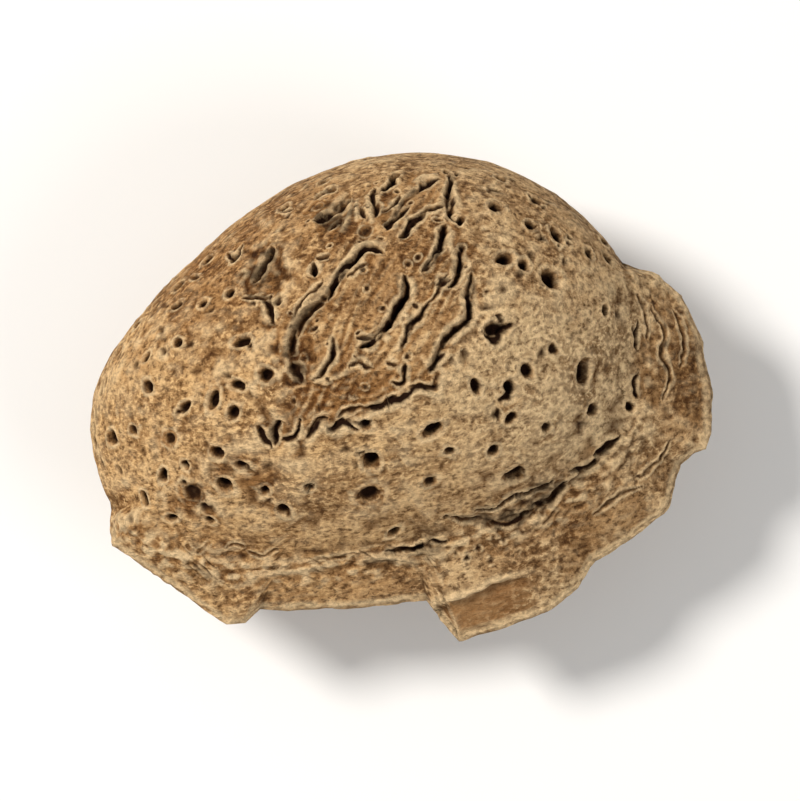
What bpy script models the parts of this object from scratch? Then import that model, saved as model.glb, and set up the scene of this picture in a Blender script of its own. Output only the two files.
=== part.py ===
"""An almond in its woody shell, lying on its broad side on a small flat spot.

X runs along the nut, from the pointed end at -X to the stem end at +X. The ragged keel faces -Y, and
the thickness runs up Z. The origin lies under the middle of the nut, level with the flat spot.
"""

import math
import random

import bmesh
import bpy
import numpy as np
from mathutils import Matrix, Vector, noise

MM = 0.001
NODE = "almond"

# Driving sizes in millimetres. Outlines are seen from above, and each is a ring round CENTRE.
CENTRE = (-1.0, 2.0)
CROWN_HEIGHT = 9.1
UNDERSIDE_DEPTH = 8.5
REST_CUT = 0.34
KEEL_ROOT = 2.1
KEEL_EDGE = 0.45
KEEL_FADE = 0.9
CREASE_BLEND = 1.0
EDGE_ROUNDING = 44

# How the height falls off from the middle: the larger the bend, the straighter the slope. The bends of
# the keel side and the point come in between these values of the sine and the cosine of the bearing.
BODY_FALLOFF = 2.25
BACK_BEND = 0.5
KEEL_SIDE_BEND = 0.34
KEEL_SIDE = (-0.45, 0.6)
POINT_BEND = 0.07
POINT_SIDE = (0.3, 1.0)

# Broad lumps of the skin, as strength and fineness; a fuller stem end; and the keel's slow wave.
LUMPS = ((0.05, 2.1), (0.03, 5.0))
STEM_FULLNESS = 0.06
WAVE_HEIGHT = 0.45
WAVE_START = 0.6
WAVE_FALLOFF = 6

BODY_OUTLINE = (
    (-17.0, 0.4), (-16.2, 3.4), (-13.9, 6.2), (-10.2, 9.2), (-6.2, 11.6), (-2.2, 13.0), (2.6, 13.2),
    (6.8, 12.0), (10.3, 9.5), (12.8, 6.2), (13.9, 2.6), (13.5, -1.2), (11.6, -4.9), (8.0, -7.2),
    (2.0, -8.4), (-5.0, -8.6), (-11.0, -7.8), (-14.8, -5.8), (-16.5, -3.2),
)
KEEL_OUTLINE = (
    (13.2, 5.4), (15.1, 4.4), (16.3, 2.9), (17.0, 0.4), (16.9, -2.2), (16.5, -4.6), (16.1, -5.4),
    (14.6, -6.0), (14.2, -6.9), (13.7, -8.2), (12.0, -9.4), (9.2, -10.5), (8.0, -11.8), (6.2, -12.8),
    (3.8, -13.3), (1.1, -13.7), (0.3, -12.4), (-0.3, -11.2), (-4.5, -11.0), (-9.4, -10.3),
    (-10.3, -10.9), (-11.3, -10.8), (-13.4, -8.8), (-15.6, -6.7), (-16.8, -5.6), (-16.7, -4.2),
    (-16.2, -2.6),
)

# The shell's skin starts as a cube with this many cells along each edge.
SKIN_CELLS = 20

# A small step over the skin that finds its outward axis, and how near the rim a place may lie.
FRAME_STEP = 0.01
RIM_REACH = 0.999

# Pits on the upper face that are placed by hand: x, y, radius and depth in millimetres.
FACE_PITS = (
    (6.6, 8.9, 0.42, 0.5), (8.9, 9.1, 0.40, 0.3), (8.3, 7.7, 0.36, 0.5), (6.6, 6.0, 0.50, 0.7),
    (7.6, 5.5, 0.38, 0.5), (8.9, 4.6, 0.58, 0.8), (5.5, 2.2, 0.56, 0.6), (8.4, 0.8, 0.34, 0.3),
    (9.9, -0.6, 0.60, 0.8), (4.0, -0.6, 0.38, 0.5), (5.8, -0.9, 0.42, 0.6), (5.6, -2.5, 0.38, 0.5),
    (1.4, -2.5, 0.52, 0.7), (2.1, -3.7, 0.28, 0.3), (-2.1, -3.6, 0.55, 0.8), (-2.5, -5.3, 0.62, 0.4),
    (0.8, -5.1, 0.38, 0.3), (4.4, -4.0, 0.38, 0.5), (5.4, -5.4, 0.60, 0.7), (-13.3, 2.4, 0.34, 0.6),
    (-11.5, 0.9, 0.36, 0.4), (-9.9, 1.0, 0.46, 0.5), (-8.5, 1.5, 0.38, 0.5), (-6.9, 1.8, 0.44, 0.6),
    (-7.9, 3.8, 0.44, 0.5), (-12.6, -0.6, 0.44, 0.3), (-14.5, 0.3, 0.30, 0.3), (-13.2, 4.0, 0.30, 0.4),
    (-11.3, 4.4, 0.30, 0.4), (-13.3, -2.4, 0.38, 0.5), (-12.0, -2.1, 0.26, 0.4), (-10.2, -1.8, 0.42, 0.6),
    (-10.1, -3.5, 0.50, 0.7), (-9.0, -2.7, 0.34, 0.5), (-11.9, -3.6, 0.70, 0.3), (-14.5, -3.4, 0.34, 0.4),
    (-11.2, -5.2, 0.30, 0.4), (-13.2, -4.7, 0.30, 0.4), (-7.7, 8.6, 0.38, 0.5), (-8.2, 6.6, 0.30, 0.4),
    (-11.2, 6.6, 0.34, 0.4), (-10.0, 8.0, 0.30, 0.4), (1.5, 11.5, 0.36, 0.5), (-2.0, 11.4, 0.34, 0.5),
    (7.2, 10.6, 0.34, 0.4), (11.3, 5.8, 0.34, 0.4), (11.6, 2.6, 0.34, 0.4), (7.4, -3.2, 0.30, 0.3),
    (-8.0, -4.2, 0.34, 0.4), (-5.6, -4.4, 0.28, 0.3), (12.2, -2.6, 0.30, 0.4), (4.6, 8.4, 0.32, 0.5),
)

# Grooves on the upper face: width, depth and a route in millimetres.
FACE_GROOVES = (
    (1.20, 0.60, ((-5.3, 1.9), (-5.3, 3.3), (-4.5, 4.5), (-3.2, 5.3))),
    (0.65, 0.55, ((-2.8, 5.7), (-1.9, 6.6), (-0.7, 7.5), (0.3, 7.2))),
    (0.75, 0.60, ((1.1, 5.8), (0.8, 4.5), (0.0, 3.6), (-1.6, 2.4))),
    (0.80, 0.65, ((4.6, 5.1), (4.3, 3.6), (3.9, 2.8), (2.7, 2.0), (1.8, 0.7))),
    (0.50, 0.45, ((1.2, 3.1), (0.4, 2.0))),
    (0.75, 0.60, ((2.2, 6.0), (3.1, 6.8), (3.7, 7.9))),
    (0.70, 0.60, ((4.6, 6.8), (4.2, 6.3), (3.8, 5.5))),
    (0.65, 0.55, ((4.6, 11.2), (4.2, 10.0), (4.0, 8.8))),
    (0.60, 0.50, ((2.4, 8.9), (1.9, 8.5), (1.2, 7.9))),
    (0.60, 0.50, ((3.8, 10.9), (2.6, 10.5), (1.6, 9.8), (0.9, 8.9))),
    (1.10, 0.60, ((-3.0, 9.9), (-2.2, 10.2), (-1.1, 10.6))),
    (0.60, 0.50, ((-3.1, 3.1), (-3.3, 2.1), (-4.3, 1.1))),
    (0.80, 0.70, ((-7.4, -0.2), (-7.1, -1.0), (-6.9, -1.9))),
    (0.60, 0.60, ((-3.6, 6.6), (-3.5, 7.3))),
    (0.85, 0.60, ((-5.8, 8.6), (-6.2, 7.9), (-6.8, 7.1))),
    (0.60, 0.55, ((-7.4, 6.1), (-6.3, 5.9), (-6.1, 4.5))),
    (0.70, 0.55, ((-10.6, -7.3), (-9.0, -7.3))),
    (0.55, 0.45, ((-2.2, -8.2), (-0.8, -8.3), (1.1, -8.2))),
    (1.20, 0.70, ((1.7, -7.1), (4.2, -7.5), (6.4, -7.2), (8.1, -6.3))),
    (0.70, 0.60, ((8.6, -5.8), (9.8, -5.3), (11.2, -4.3))),
    (0.60, 0.50, ((13.0, 1.7), (13.2, 0.6))),
    (0.75, 0.50, ((14.3, 3.2), (14.9, 1.4), (14.5, -0.4), (14.9, -2.4))),
)

# The scar where a thin outer layer has torn away, and the flake missing from the keel.
SCAR_OUTLINE = (
    (-5.2, -1.9), (-4.6, -1.1), (-3.6, -1.6), (-2.4, -1.3), (-1.0, -0.9), (0.2, -0.4), (1.1, -0.1),
    (1.9, -0.5), (2.2, 0.3), (1.2, 1.3), (-1.4, 1.5), (-3.6, 0.7), (-5.6, 1.4), (-6.0, -0.4),
)
SCAR_DEPTH = 0.34
PATCH_HEADROOM = 2.0
FLAKE_OUTLINE = (
    (0.2, -11.4), (3.4, -10.9), (5.2, -11.6), (7.4, -11.9), (6.4, -13.4), (1.0, -14.4), (-0.4, -12.6),
)
FLAKE_DEPTH = 0.30

# Grooves that run along the hidden underside, bending round the nut as its outline does.
UNDER_GROOVES = (
    ((-9.8, 4.6), (-6.6, 6.2), (-3.0, 7.0)), ((1.8, 7.4), (5.4, 7.0), (8.6, 5.2)),
    ((-13.0, -1.0), (-9.4, -1.6), (-6.4, -1.4)), ((6.4, 1.2), (9.0, 0.9), (11.4, 0.2)),
    ((-9.4, -5.4), (-5.6, -5.8), (-1.6, -5.4)), ((2.6, -5.0), (5.6, -4.6), (8.8, -3.2)),
    ((-5.2, 9.8), (-1.4, 10.8), (2.8, 10.6)),
)
UNDER_GROOVE_SIZE = (0.85, 0.55)
GROOVE_SIDES = 5
GROOVE_END = 0.45
GROOVE_LIFT = 0.05

# A pit is a cup whose floor and mouth are these shares of its radius, stretched and dented by chance.
PIT_SIDES = 6
PIT_FLOOR = 0.65
PIT_MOUTH = 1.25
PIT_LIFT = 0.35
PIT_STRETCH = (0.85, 1.35)
PIT_DENT = (0.86, 1.12)

# Smaller pits are strewn by chance over the rest of the shell.
STREWN_SEED = 41
STREWN_PITS = 70
STREWN_RADIUS = (0.30, 0.50)
STREWN_DEPTH = 1.2
STREWN_GAP = 1.15
REST_CLEARANCE = 6.5
KEEL_CLEARANCE = 0.9

SHELL_COLOUR = (0.309, 0.188, 0.091, 1.0)
SHELL_ROUGHNESS = 0.88
SHARP_ANGLE = math.radians(50.0)


def rounded_ring(points, steps=12):
    """Points of a smooth closed curve through the given ones."""
    ring = np.array(points)
    before, after, beyond = (np.roll(ring, shift, axis=0) for shift in (1, -1, -2))
    curve = []
    for t in np.arange(steps) / steps:
        bend = (-before + 3 * ring - 3 * after + beyond) * t**3
        turn = (2 * before - 5 * ring + 4 * after - beyond) * t**2
        curve.append((2 * ring + (after - before) * t + turn + bend) / 2)
    return np.stack(curve, axis=1).reshape(-1, 2)


def straight_run(points, steps=12):
    """Points along the straight stretches of an open outline, corners included."""
    run = np.array(points)
    share = np.arange(steps)[:, None] / steps
    stretches = [start + (end - start) * share for start, end in zip(run[:-1], run[1:])]
    return np.vstack(stretches + [run[-1:]])


def as_bearings(points):
    """Bearing and distance of each point from CENTRE, in order of bearing."""
    offset = points - np.array(CENTRE)
    bearing = np.arctan2(offset[:, 1], offset[:, 0])
    order = np.argsort(bearing)
    return bearing[order], np.hypot(offset[:, 0], offset[:, 1])[order]


BODY_RING = as_bearings(rounded_ring(BODY_OUTLINE))
KEEL_RING = as_bearings(straight_run(KEEL_OUTLINE))


def body_radius(bearing):
    """Distance from CENTRE to the edge of the nut's body."""
    return np.interp(bearing, *BODY_RING, period=math.tau)


def full_radius(bearing):
    """Distance from CENTRE to the outer edge, keel included."""
    keel = np.interp(bearing, *KEEL_RING, left=0.0, right=0.0)
    return np.maximum(body_radius(bearing), keel)


def smooth_step(low, high, value):
    """A share that eases from 0 at the low value to 1 at the high one."""
    share = np.clip((value - low) / (high - low), 0.0, 1.0)
    return share * share * (3.0 - 2.0 * share)


def half_height(bearing, reach, crown):
    """Height over the middle plane, at a reach of 0 in the centre to 1 at the outer edge."""
    inner = body_radius(bearing)
    outer = full_radius(bearing)
    keel = smooth_step(0.0, KEEL_FADE, outer - inner)
    share = reach * outer / inner

    # The back is round, and the keel side and the point slope away like a wedge.
    bend = BACK_BEND + KEEL_SIDE_BEND * smooth_step(*KEEL_SIDE, -np.sin(bearing))
    bend = bend + POINT_BEND * smooth_step(*POINT_SIDE, -np.cos(bearing))
    inside = 1.0 - share**BODY_FALLOFF
    body = crown * np.sign(inside) * np.abs(inside) ** bend

    across = np.clip((1.0 - reach) * outer / np.maximum(outer - inner, 0.05), 0.0, 1.0)
    plate = keel * (KEEL_EDGE + (KEEL_ROOT - KEEL_EDGE) * across)
    plate = plate * np.sqrt(1.0 - reach**EDGE_ROUNDING)
    blend = CREASE_BLEND * keel
    return (body + plate + np.sqrt((body - plate) ** 2 + blend**2)) / 2


def skin_point(direction):
    """The shell's surface in the given direction, in millimetres round the middle plane."""
    bearing = math.atan2(direction.y, direction.x)
    reach = min(math.hypot(direction.x, direction.y), 1.0)
    outer = full_radius(bearing)
    crown = CROWN_HEIGHT if direction.z > 0.0 else UNDERSIDE_DEPTH
    height = half_height(bearing, reach, crown) if abs(direction.z) > 1e-6 else 0.0
    height *= 1.0 + sum(strength * noise.noise(direction * fineness) for strength, fineness in LUMPS)
    height *= 1.0 + STEM_FULLNESS * reach * math.cos(bearing)
    wave = WAVE_HEIGHT * reach**WAVE_FALLOFF * math.sin(2.0 * bearing + WAVE_START)
    x = CENTRE[0] + outer * reach * math.cos(bearing)
    y = CENTRE[1] + outer * reach * math.sin(bearing)
    return Vector((x, y, math.copysign(height, direction.z) + wave))


def skin_frame(direction):
    """The surface point in a direction, and the outward axis there as a turning matrix."""
    side = direction.orthogonal().normalized() * FRAME_STEP
    across = direction.cross(side)
    point = skin_point(direction)
    first = skin_point((direction + side).normalized()) - point
    second = skin_point((direction + across).normalized()) - point
    outward = first.cross(second).normalized()
    return point, outward.to_track_quat("Z", "Y").to_matrix().to_4x4()


def direction_over(x, y, side=1.0):
    """The direction whose surface point lies over the given place, on the upper or lower side."""
    bearing = math.atan2(y - CENTRE[1], x - CENTRE[0])
    reach = math.hypot(x - CENTRE[0], y - CENTRE[1]) / float(full_radius(bearing))
    reach = min(reach, RIM_REACH)
    upward = side * math.sqrt(1.0 - reach * reach)
    return Vector((reach * math.cos(bearing), reach * math.sin(bearing), upward))


def turned_columns(cells):
    """Bearings of the grid's columns, and the turn that sets some of them on the keel's corners."""
    step = math.tau / (4 * cells)
    corners = sorted(math.atan2(y - CENTRE[1], x - CENTRE[0]) for x, y in KEEL_OUTLINE)
    columns = []
    for corner in corners:
        nearest = round(corner / step)
        columns.append(max(nearest, columns[-1] + 1) if columns else nearest)
    columns = np.array(columns) * step
    return columns, np.array(corners) - columns


def shell_skin(bm):
    """The whole closed skin of the nut, made from a rounded cube."""
    bmesh.ops.create_cube(bm, size=2.0)
    bmesh.ops.subdivide_edges(bm, edges=bm.edges[:], cuts=SKIN_CELLS - 1, use_grid_fill=True)
    columns, turns = turned_columns(SKIN_CELLS)
    for vert in bm.verts:
        even = Vector([math.tan(value * math.pi / 4) for value in vert.co]).normalized()
        bearing = math.atan2(even.y, even.x)
        turn = float(np.interp(bearing, columns, turns, period=math.tau))
        vert.co = skin_point(Matrix.Rotation(turn, 3, "Z") @ even)


def cut_rest_spot(bm):
    """Cuts the small flat spot that the nut lies on."""
    level = min(vert.co.z for vert in bm.verts) + REST_CUT
    geometry = bm.verts[:] + bm.edges[:] + bm.faces[:]
    cut = bmesh.ops.bisect_plane(
        bm, geom=geometry, plane_co=(0.0, 0.0, level), plane_no=(0.0, 0.0, 1.0), clear_inner=True
    )
    rim = [item for item in cut["geom_cut"] if isinstance(item, bmesh.types.BMEdge)]
    bmesh.ops.contextual_create(bm, geom=rim)
    return level


def middle_of(bm):
    """The middle of the skin's box, seen from above."""
    xs = [vert.co.x for vert in bm.verts]
    ys = [vert.co.y for vert in bm.verts]
    return (min(xs) + max(xs)) / 2, (min(ys) + max(ys)) / 2


def pit_cutter(bm, direction, radius, depth, dice):
    """A small uneven cup, sunk into the surface along its outward axis."""
    point, turned = skin_frame(direction)
    cup = bmesh.ops.create_cone(
        bm, cap_ends=True, segments=PIT_SIDES, radius1=PIT_FLOOR, radius2=PIT_MOUTH, depth=depth + PIT_LIFT
    )
    spin = Matrix.Rotation(dice.uniform(0.0, math.tau), 4, "Z")
    stretch = dice.uniform(*PIT_STRETCH)
    shape = Matrix.Diagonal((radius * stretch, radius / stretch, 1.0, 1.0))
    seat = Matrix.Translation((0.0, 0.0, (PIT_LIFT - depth) / 2))
    for vert in cup["verts"]:
        vert.co.xy *= dice.uniform(*PIT_DENT)
        vert.co = Matrix.Translation(point) @ turned @ seat @ spin @ shape @ vert.co


def strewn_directions(taken, dice):
    """Places for the smaller pits: clear of each other, of the keel and of the flat spot."""
    places = list(taken)
    found = []
    rest = Vector((CENTRE[0], CENTRE[1], -UNDERSIDE_DEPTH))
    while len(found) < STREWN_PITS:
        direction = Vector([dice.gauss(0.0, 1.0) for _ in range(3)]).normalized()
        point = skin_point(direction)
        bearing = math.atan2(direction.y, direction.x)
        reach = math.hypot(direction.x, direction.y)
        outer = float(full_radius(bearing))
        inner = float(body_radius(bearing))
        on_keel = outer > inner and reach * outer > KEEL_CLEARANCE * inner
        near_rest = (point - rest).length < REST_CLEARANCE
        crowded = any((point - place).length < STREWN_GAP for place in places)
        if on_keel or near_rest or crowded:
            continue
        places.append(point)
        found.append(direction)
    return found


def groove_places(routes):
    """Surface points under the corners and the half-way places of the grooves."""
    places = []
    for route in routes:
        spots = [Vector(spot) for spot in route]
        spots += [first.lerp(second, 0.5) for first, second in zip(spots, spots[1:])]
        places += [skin_point(direction_over(spot.x, spot.y)) for spot in spots]
    return places


def groove_cutter(bm, route, width, depth, side=1.0):
    """A tapering five-sided bar that follows the surface along a route."""
    places = [Vector(place) for place in route]
    ring = bmesh.ops.create_circle(bm, segments=GROOVE_SIDES, radius=1.0, cap_ends=True)["verts"]
    shape = [vert.co.copy() for vert in ring]
    last = len(places) - 1
    for index, place in enumerate(places):
        if index:
            edges = {edge for vert in ring for edge in vert.link_edges if edge.other_vert(vert) in ring}
            grown = bmesh.ops.extrude_edge_only(bm, edges=list(edges))["geom"]
            matching = [item for item in grown if isinstance(item, bmesh.types.BMVert)]
            ring = [min(matching, key=lambda new, old=old: (new.co - old.co).length) for old in ring]
        ahead = (places[min(index + 1, last)] - places[max(index - 1, 0)]).normalized()
        point, turned = skin_frame(direction_over(place.x, place.y, side))
        outward = turned.to_3x3() @ Vector((0.0, 0.0, 1.0))
        along = Vector((ahead.x, ahead.y, 0.0))
        across = outward.cross(along).normalized()
        taper = GROOVE_END if index in (0, last) else 1.0
        for vert, spot in zip(ring, shape):
            sideways = across * (spot.x * width / 2 * taper)
            vert.co = point + sideways + outward * (spot.y * depth * taper + GROOVE_LIFT)
    bmesh.ops.contextual_create(bm, geom=ring)


def patch_cutter(bm, outline, depth):
    """A thin slab over a patch of the upper face, whose floor follows the surface."""
    rim = [bm.verts.new((x, y, 0.0)) for x, y in outline]
    floor = bmesh.ops.poke(bm, faces=[bm.faces.new(rim)])
    spokes = {edge for vert in floor["verts"] for edge in vert.link_edges}
    bmesh.ops.subdivide_edges(bm, edges=list(spokes), cuts=1)
    for vert in bm.verts:
        vert.co.z = skin_point(direction_over(vert.co.x, vert.co.y)).z - depth
    grown = bmesh.ops.extrude_face_region(bm, geom=bm.faces[:])["geom"]
    lid = [item for item in grown if isinstance(item, bmesh.types.BMVert)]
    bmesh.ops.translate(bm, verts=lid, vec=(0.0, 0.0, PATCH_HEADROOM))


def finished_object(name, bm, shift):
    """Moves a mesh to its place, turns millimetres to metres and hangs it on an object."""
    bmesh.ops.recalc_face_normals(bm, faces=bm.faces[:])
    bmesh.ops.translate(bm, verts=bm.verts[:], vec=shift)
    bmesh.ops.scale(bm, verts=bm.verts[:], vec=(MM, MM, MM))
    mesh = bpy.data.meshes.new(name)
    bm.to_mesh(mesh)
    bm.free()
    obj = bpy.data.objects.new(name, mesh)
    bpy.context.scene.collection.objects.link(obj)
    return obj


def cut_with(shell, name, bm, shift):
    """Takes a cutter away from the shell."""
    cutter = finished_object(name, bm, shift)
    cutter.hide_render = True
    cutter.display_type = "WIRE"
    boolean = shell.modifiers.new(name, "BOOLEAN")
    boolean.operation = "DIFFERENCE"
    boolean.solver = "EXACT"
    boolean.use_self = True
    boolean.object = cutter


def shell_material():
    """Dry brown shell without gloss."""
    material = bpy.data.materials.new("almond_shell")
    material.use_nodes = True
    shader = material.node_tree.nodes["Principled BSDF"]
    shader.inputs["Base Color"].default_value = SHELL_COLOUR
    shader.inputs["Roughness"].default_value = SHELL_ROUGHNESS
    shader.inputs["Metallic"].default_value = 0.0
    return material


def build_almond():
    """The nut, with its scar, its flake, its grooves and its pits cut in."""
    bm = bmesh.new()
    shell_skin(bm)
    level = cut_rest_spot(bm)
    middle_x, middle_y = middle_of(bm)
    shift = (-middle_x, -middle_y, -level)
    shell = finished_object(NODE, bm, shift)
    shell.data.materials.append(shell_material())

    for name, outline, depth in (
        ("scar_cutter", SCAR_OUTLINE, SCAR_DEPTH),
        ("flake_cutter", FLAKE_OUTLINE, FLAKE_DEPTH),
    ):
        bm = bmesh.new()
        patch_cutter(bm, outline, depth)
        cut_with(shell, name, bm, shift)

    bm = bmesh.new()
    for width, depth, route in FACE_GROOVES:
        groove_cutter(bm, route, width, depth)
    for route in UNDER_GROOVES:
        groove_cutter(bm, route, *UNDER_GROOVE_SIZE, side=-1.0)
    cut_with(shell, "groove_cutters", bm, shift)

    dice = random.Random(STREWN_SEED)
    bm = bmesh.new()
    placed = [direction_over(x, y) for x, y, radius, depth in FACE_PITS]
    for direction, (x, y, radius, depth) in zip(placed, FACE_PITS):
        pit_cutter(bm, direction, radius, depth, dice)
    taken = [skin_point(direction) for direction in placed]
    taken += groove_places(route for width, depth, route in FACE_GROOVES)
    for direction in strewn_directions(taken, dice):
        radius = dice.uniform(*STREWN_RADIUS)
        pit_cutter(bm, direction, radius, STREWN_DEPTH * radius, dice)
    cut_with(shell, "pit_cutters", bm, shift)

    shell.data.shade_smooth()
    shell.data.set_sharp_from_angle(angle=SHARP_ANGLE)


for old in list(bpy.data.objects):
    bpy.data.objects.remove(old, do_unlink=True)
build_almond()
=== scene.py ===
"""An almond in its woody shell: its pitted, furrowed skin and the plain studio it lies in.

The nut lies on its broad side. X runs from its pointed end at -X to its stem end at +X, the ragged keel
faces -Y, and Z runs up through the thickness. The skin follows the frame's almond, with finer relief.
"""

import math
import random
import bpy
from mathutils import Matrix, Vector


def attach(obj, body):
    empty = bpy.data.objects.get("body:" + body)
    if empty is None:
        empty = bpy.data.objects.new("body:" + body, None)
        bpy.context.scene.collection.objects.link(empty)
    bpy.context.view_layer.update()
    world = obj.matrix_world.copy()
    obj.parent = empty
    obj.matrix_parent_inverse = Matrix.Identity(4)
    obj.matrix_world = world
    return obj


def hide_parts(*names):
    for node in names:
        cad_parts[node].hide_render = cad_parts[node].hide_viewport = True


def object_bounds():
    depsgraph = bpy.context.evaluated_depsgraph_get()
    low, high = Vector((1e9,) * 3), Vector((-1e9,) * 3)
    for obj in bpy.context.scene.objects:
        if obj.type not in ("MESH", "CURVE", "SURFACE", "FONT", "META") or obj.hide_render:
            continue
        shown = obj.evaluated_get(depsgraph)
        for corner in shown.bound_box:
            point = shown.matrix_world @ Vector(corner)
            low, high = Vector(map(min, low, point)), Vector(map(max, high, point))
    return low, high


bl_info = {
    "name": "Almond in its shell",
    "version": (1, 0, 0),
    "blender": (4, 5, 0),
    "location": "3D View > Sidebar > Almond",
    "description": "Models a pitted almond shell with a ragged keel, and a plain studio to show it in",
    "category": "Add Mesh",
}

import bmesh
import bpy
import numpy as np
from bpy.props import FloatProperty, FloatVectorProperty, IntProperty, PointerProperty
from bpy.types import Operator, Panel, PropertyGroup
from mathutils import Matrix, Vector, noise

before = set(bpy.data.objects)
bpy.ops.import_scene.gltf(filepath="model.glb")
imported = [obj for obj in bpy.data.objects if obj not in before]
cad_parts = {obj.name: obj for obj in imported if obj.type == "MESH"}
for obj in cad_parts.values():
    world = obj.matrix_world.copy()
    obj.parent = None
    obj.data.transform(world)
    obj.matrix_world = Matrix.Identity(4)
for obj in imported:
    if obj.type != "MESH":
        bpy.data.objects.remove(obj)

NODE = "almond"
BODY = "root"
MM = 0.001
CAD_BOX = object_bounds()
CAD_SIZE = CAD_BOX[1] - CAD_BOX[0]

# Driving sizes in millimetres. Outlines are seen from above, and each is a ring round CENTRE.
CENTRE = (-1.0, 2.0)
CROWN_HEIGHT = 9.1
UNDERSIDE_DEPTH = 8.5
REST_CUT = 0.34
KEEL_ROOT = 2.1
KEEL_EDGE = 0.45
KEEL_FADE = 0.9
CREASE_BLEND = 1.0
EDGE_ROUNDING = 44

# How the height falls off from the middle: the larger the bend, the straighter the slope. The bends of
# the keel side and the point come in between these values of the sine and the cosine of the bearing.
BODY_FALLOFF = 2.25
BACK_BEND = 0.5
KEEL_SIDE_BEND = 0.34
KEEL_SIDE = (-0.45, 0.6)
POINT_BEND = 0.07
POINT_SIDE = (0.3, 1.0)

# Broad lumps of the skin, as strength and fineness; a fuller stem end; and the keel's slow wave.
LUMPS = ((0.05, 2.1), (0.03, 5.0))
STEM_FULLNESS = 0.06
WAVE_HEIGHT = 0.45
WAVE_START = 0.6
WAVE_FALLOFF = 6

# A small step over the skin that finds its outward axis, and how near the rim a place may lie.
FRAME_STEP = 0.01
RIM_REACH = 0.999

BODY_OUTLINE = (
    (-17.0, 0.4), (-16.2, 3.4), (-13.9, 6.2), (-10.2, 9.2), (-6.2, 11.6), (-2.2, 13.0), (2.6, 13.2),
    (6.8, 12.0), (10.3, 9.5), (12.8, 6.2), (13.9, 2.6), (13.5, -1.2), (11.6, -4.9), (8.0, -7.2),
    (2.0, -8.4), (-5.0, -8.6), (-11.0, -7.8), (-14.8, -5.8), (-16.5, -3.2),
)
KEEL_OUTLINE = (
    (13.2, 5.4), (15.1, 4.4), (16.3, 2.9), (17.0, 0.4), (16.9, -2.2), (16.5, -4.6), (16.1, -5.4),
    (14.6, -6.0), (14.2, -6.9), (13.7, -8.2), (12.0, -9.4), (9.2, -10.5), (8.0, -11.8), (6.2, -12.8),
    (3.8, -13.3), (1.1, -13.7), (0.3, -12.4), (-0.3, -11.2), (-4.5, -11.0), (-9.4, -10.3),
    (-10.3, -10.9), (-11.3, -10.8), (-13.4, -8.8), (-15.6, -6.7), (-16.8, -5.6), (-16.7, -4.2),
    (-16.2, -2.6),
)

# Pits on the upper face, listed one by one: x, y, radius and depth in millimetres.
FACE_PITS = (
    (6.6, 8.9, 0.42, 0.5), (8.9, 9.1, 0.40, 0.3), (8.3, 7.7, 0.36, 0.5), (6.6, 6.0, 0.50, 0.7),
    (7.6, 5.5, 0.38, 0.5), (8.9, 4.6, 0.58, 0.8), (5.5, 2.2, 0.56, 0.6), (8.4, 0.8, 0.34, 0.3),
    (9.9, -0.6, 0.60, 0.8), (4.0, -0.6, 0.38, 0.5), (5.8, -0.9, 0.42, 0.6), (5.6, -2.5, 0.38, 0.5),
    (1.4, -2.5, 0.52, 0.7), (2.1, -3.7, 0.28, 0.3), (-2.1, -3.6, 0.55, 0.8), (-2.5, -5.3, 0.62, 0.4),
    (0.8, -5.1, 0.38, 0.3), (4.4, -4.0, 0.38, 0.5), (5.4, -5.4, 0.60, 0.7), (-13.3, 2.4, 0.34, 0.6),
    (-11.5, 0.9, 0.36, 0.4), (-9.9, 1.0, 0.46, 0.5), (-8.5, 1.5, 0.38, 0.5), (-6.9, 1.8, 0.44, 0.6),
    (-7.9, 3.8, 0.44, 0.5), (-12.6, -0.6, 0.44, 0.3), (-14.5, 0.3, 0.30, 0.3), (-13.2, 4.0, 0.30, 0.4),
    (-11.3, 4.4, 0.30, 0.4), (-13.3, -2.4, 0.38, 0.5), (-12.0, -2.1, 0.26, 0.4), (-10.2, -1.8, 0.42, 0.6),
    (-10.1, -3.5, 0.50, 0.7), (-9.0, -2.7, 0.34, 0.5), (-11.9, -3.6, 0.70, 0.3), (-14.5, -3.4, 0.34, 0.4),
    (-11.2, -5.2, 0.30, 0.4), (-13.2, -4.7, 0.30, 0.4), (-7.7, 8.6, 0.38, 0.5), (-8.2, 6.6, 0.30, 0.4),
    (-11.2, 6.6, 0.34, 0.4), (-10.0, 8.0, 0.30, 0.4), (1.5, 11.5, 0.36, 0.5), (-2.0, 11.4, 0.34, 0.5),
    (7.2, 10.6, 0.34, 0.4), (11.3, 5.8, 0.34, 0.4), (11.6, 2.6, 0.34, 0.4), (7.4, -3.2, 0.30, 0.3),
    (-8.0, -4.2, 0.34, 0.4), (-5.6, -4.4, 0.28, 0.3), (12.2, -2.6, 0.30, 0.4), (4.6, 8.4, 0.32, 0.5),
)

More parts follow.
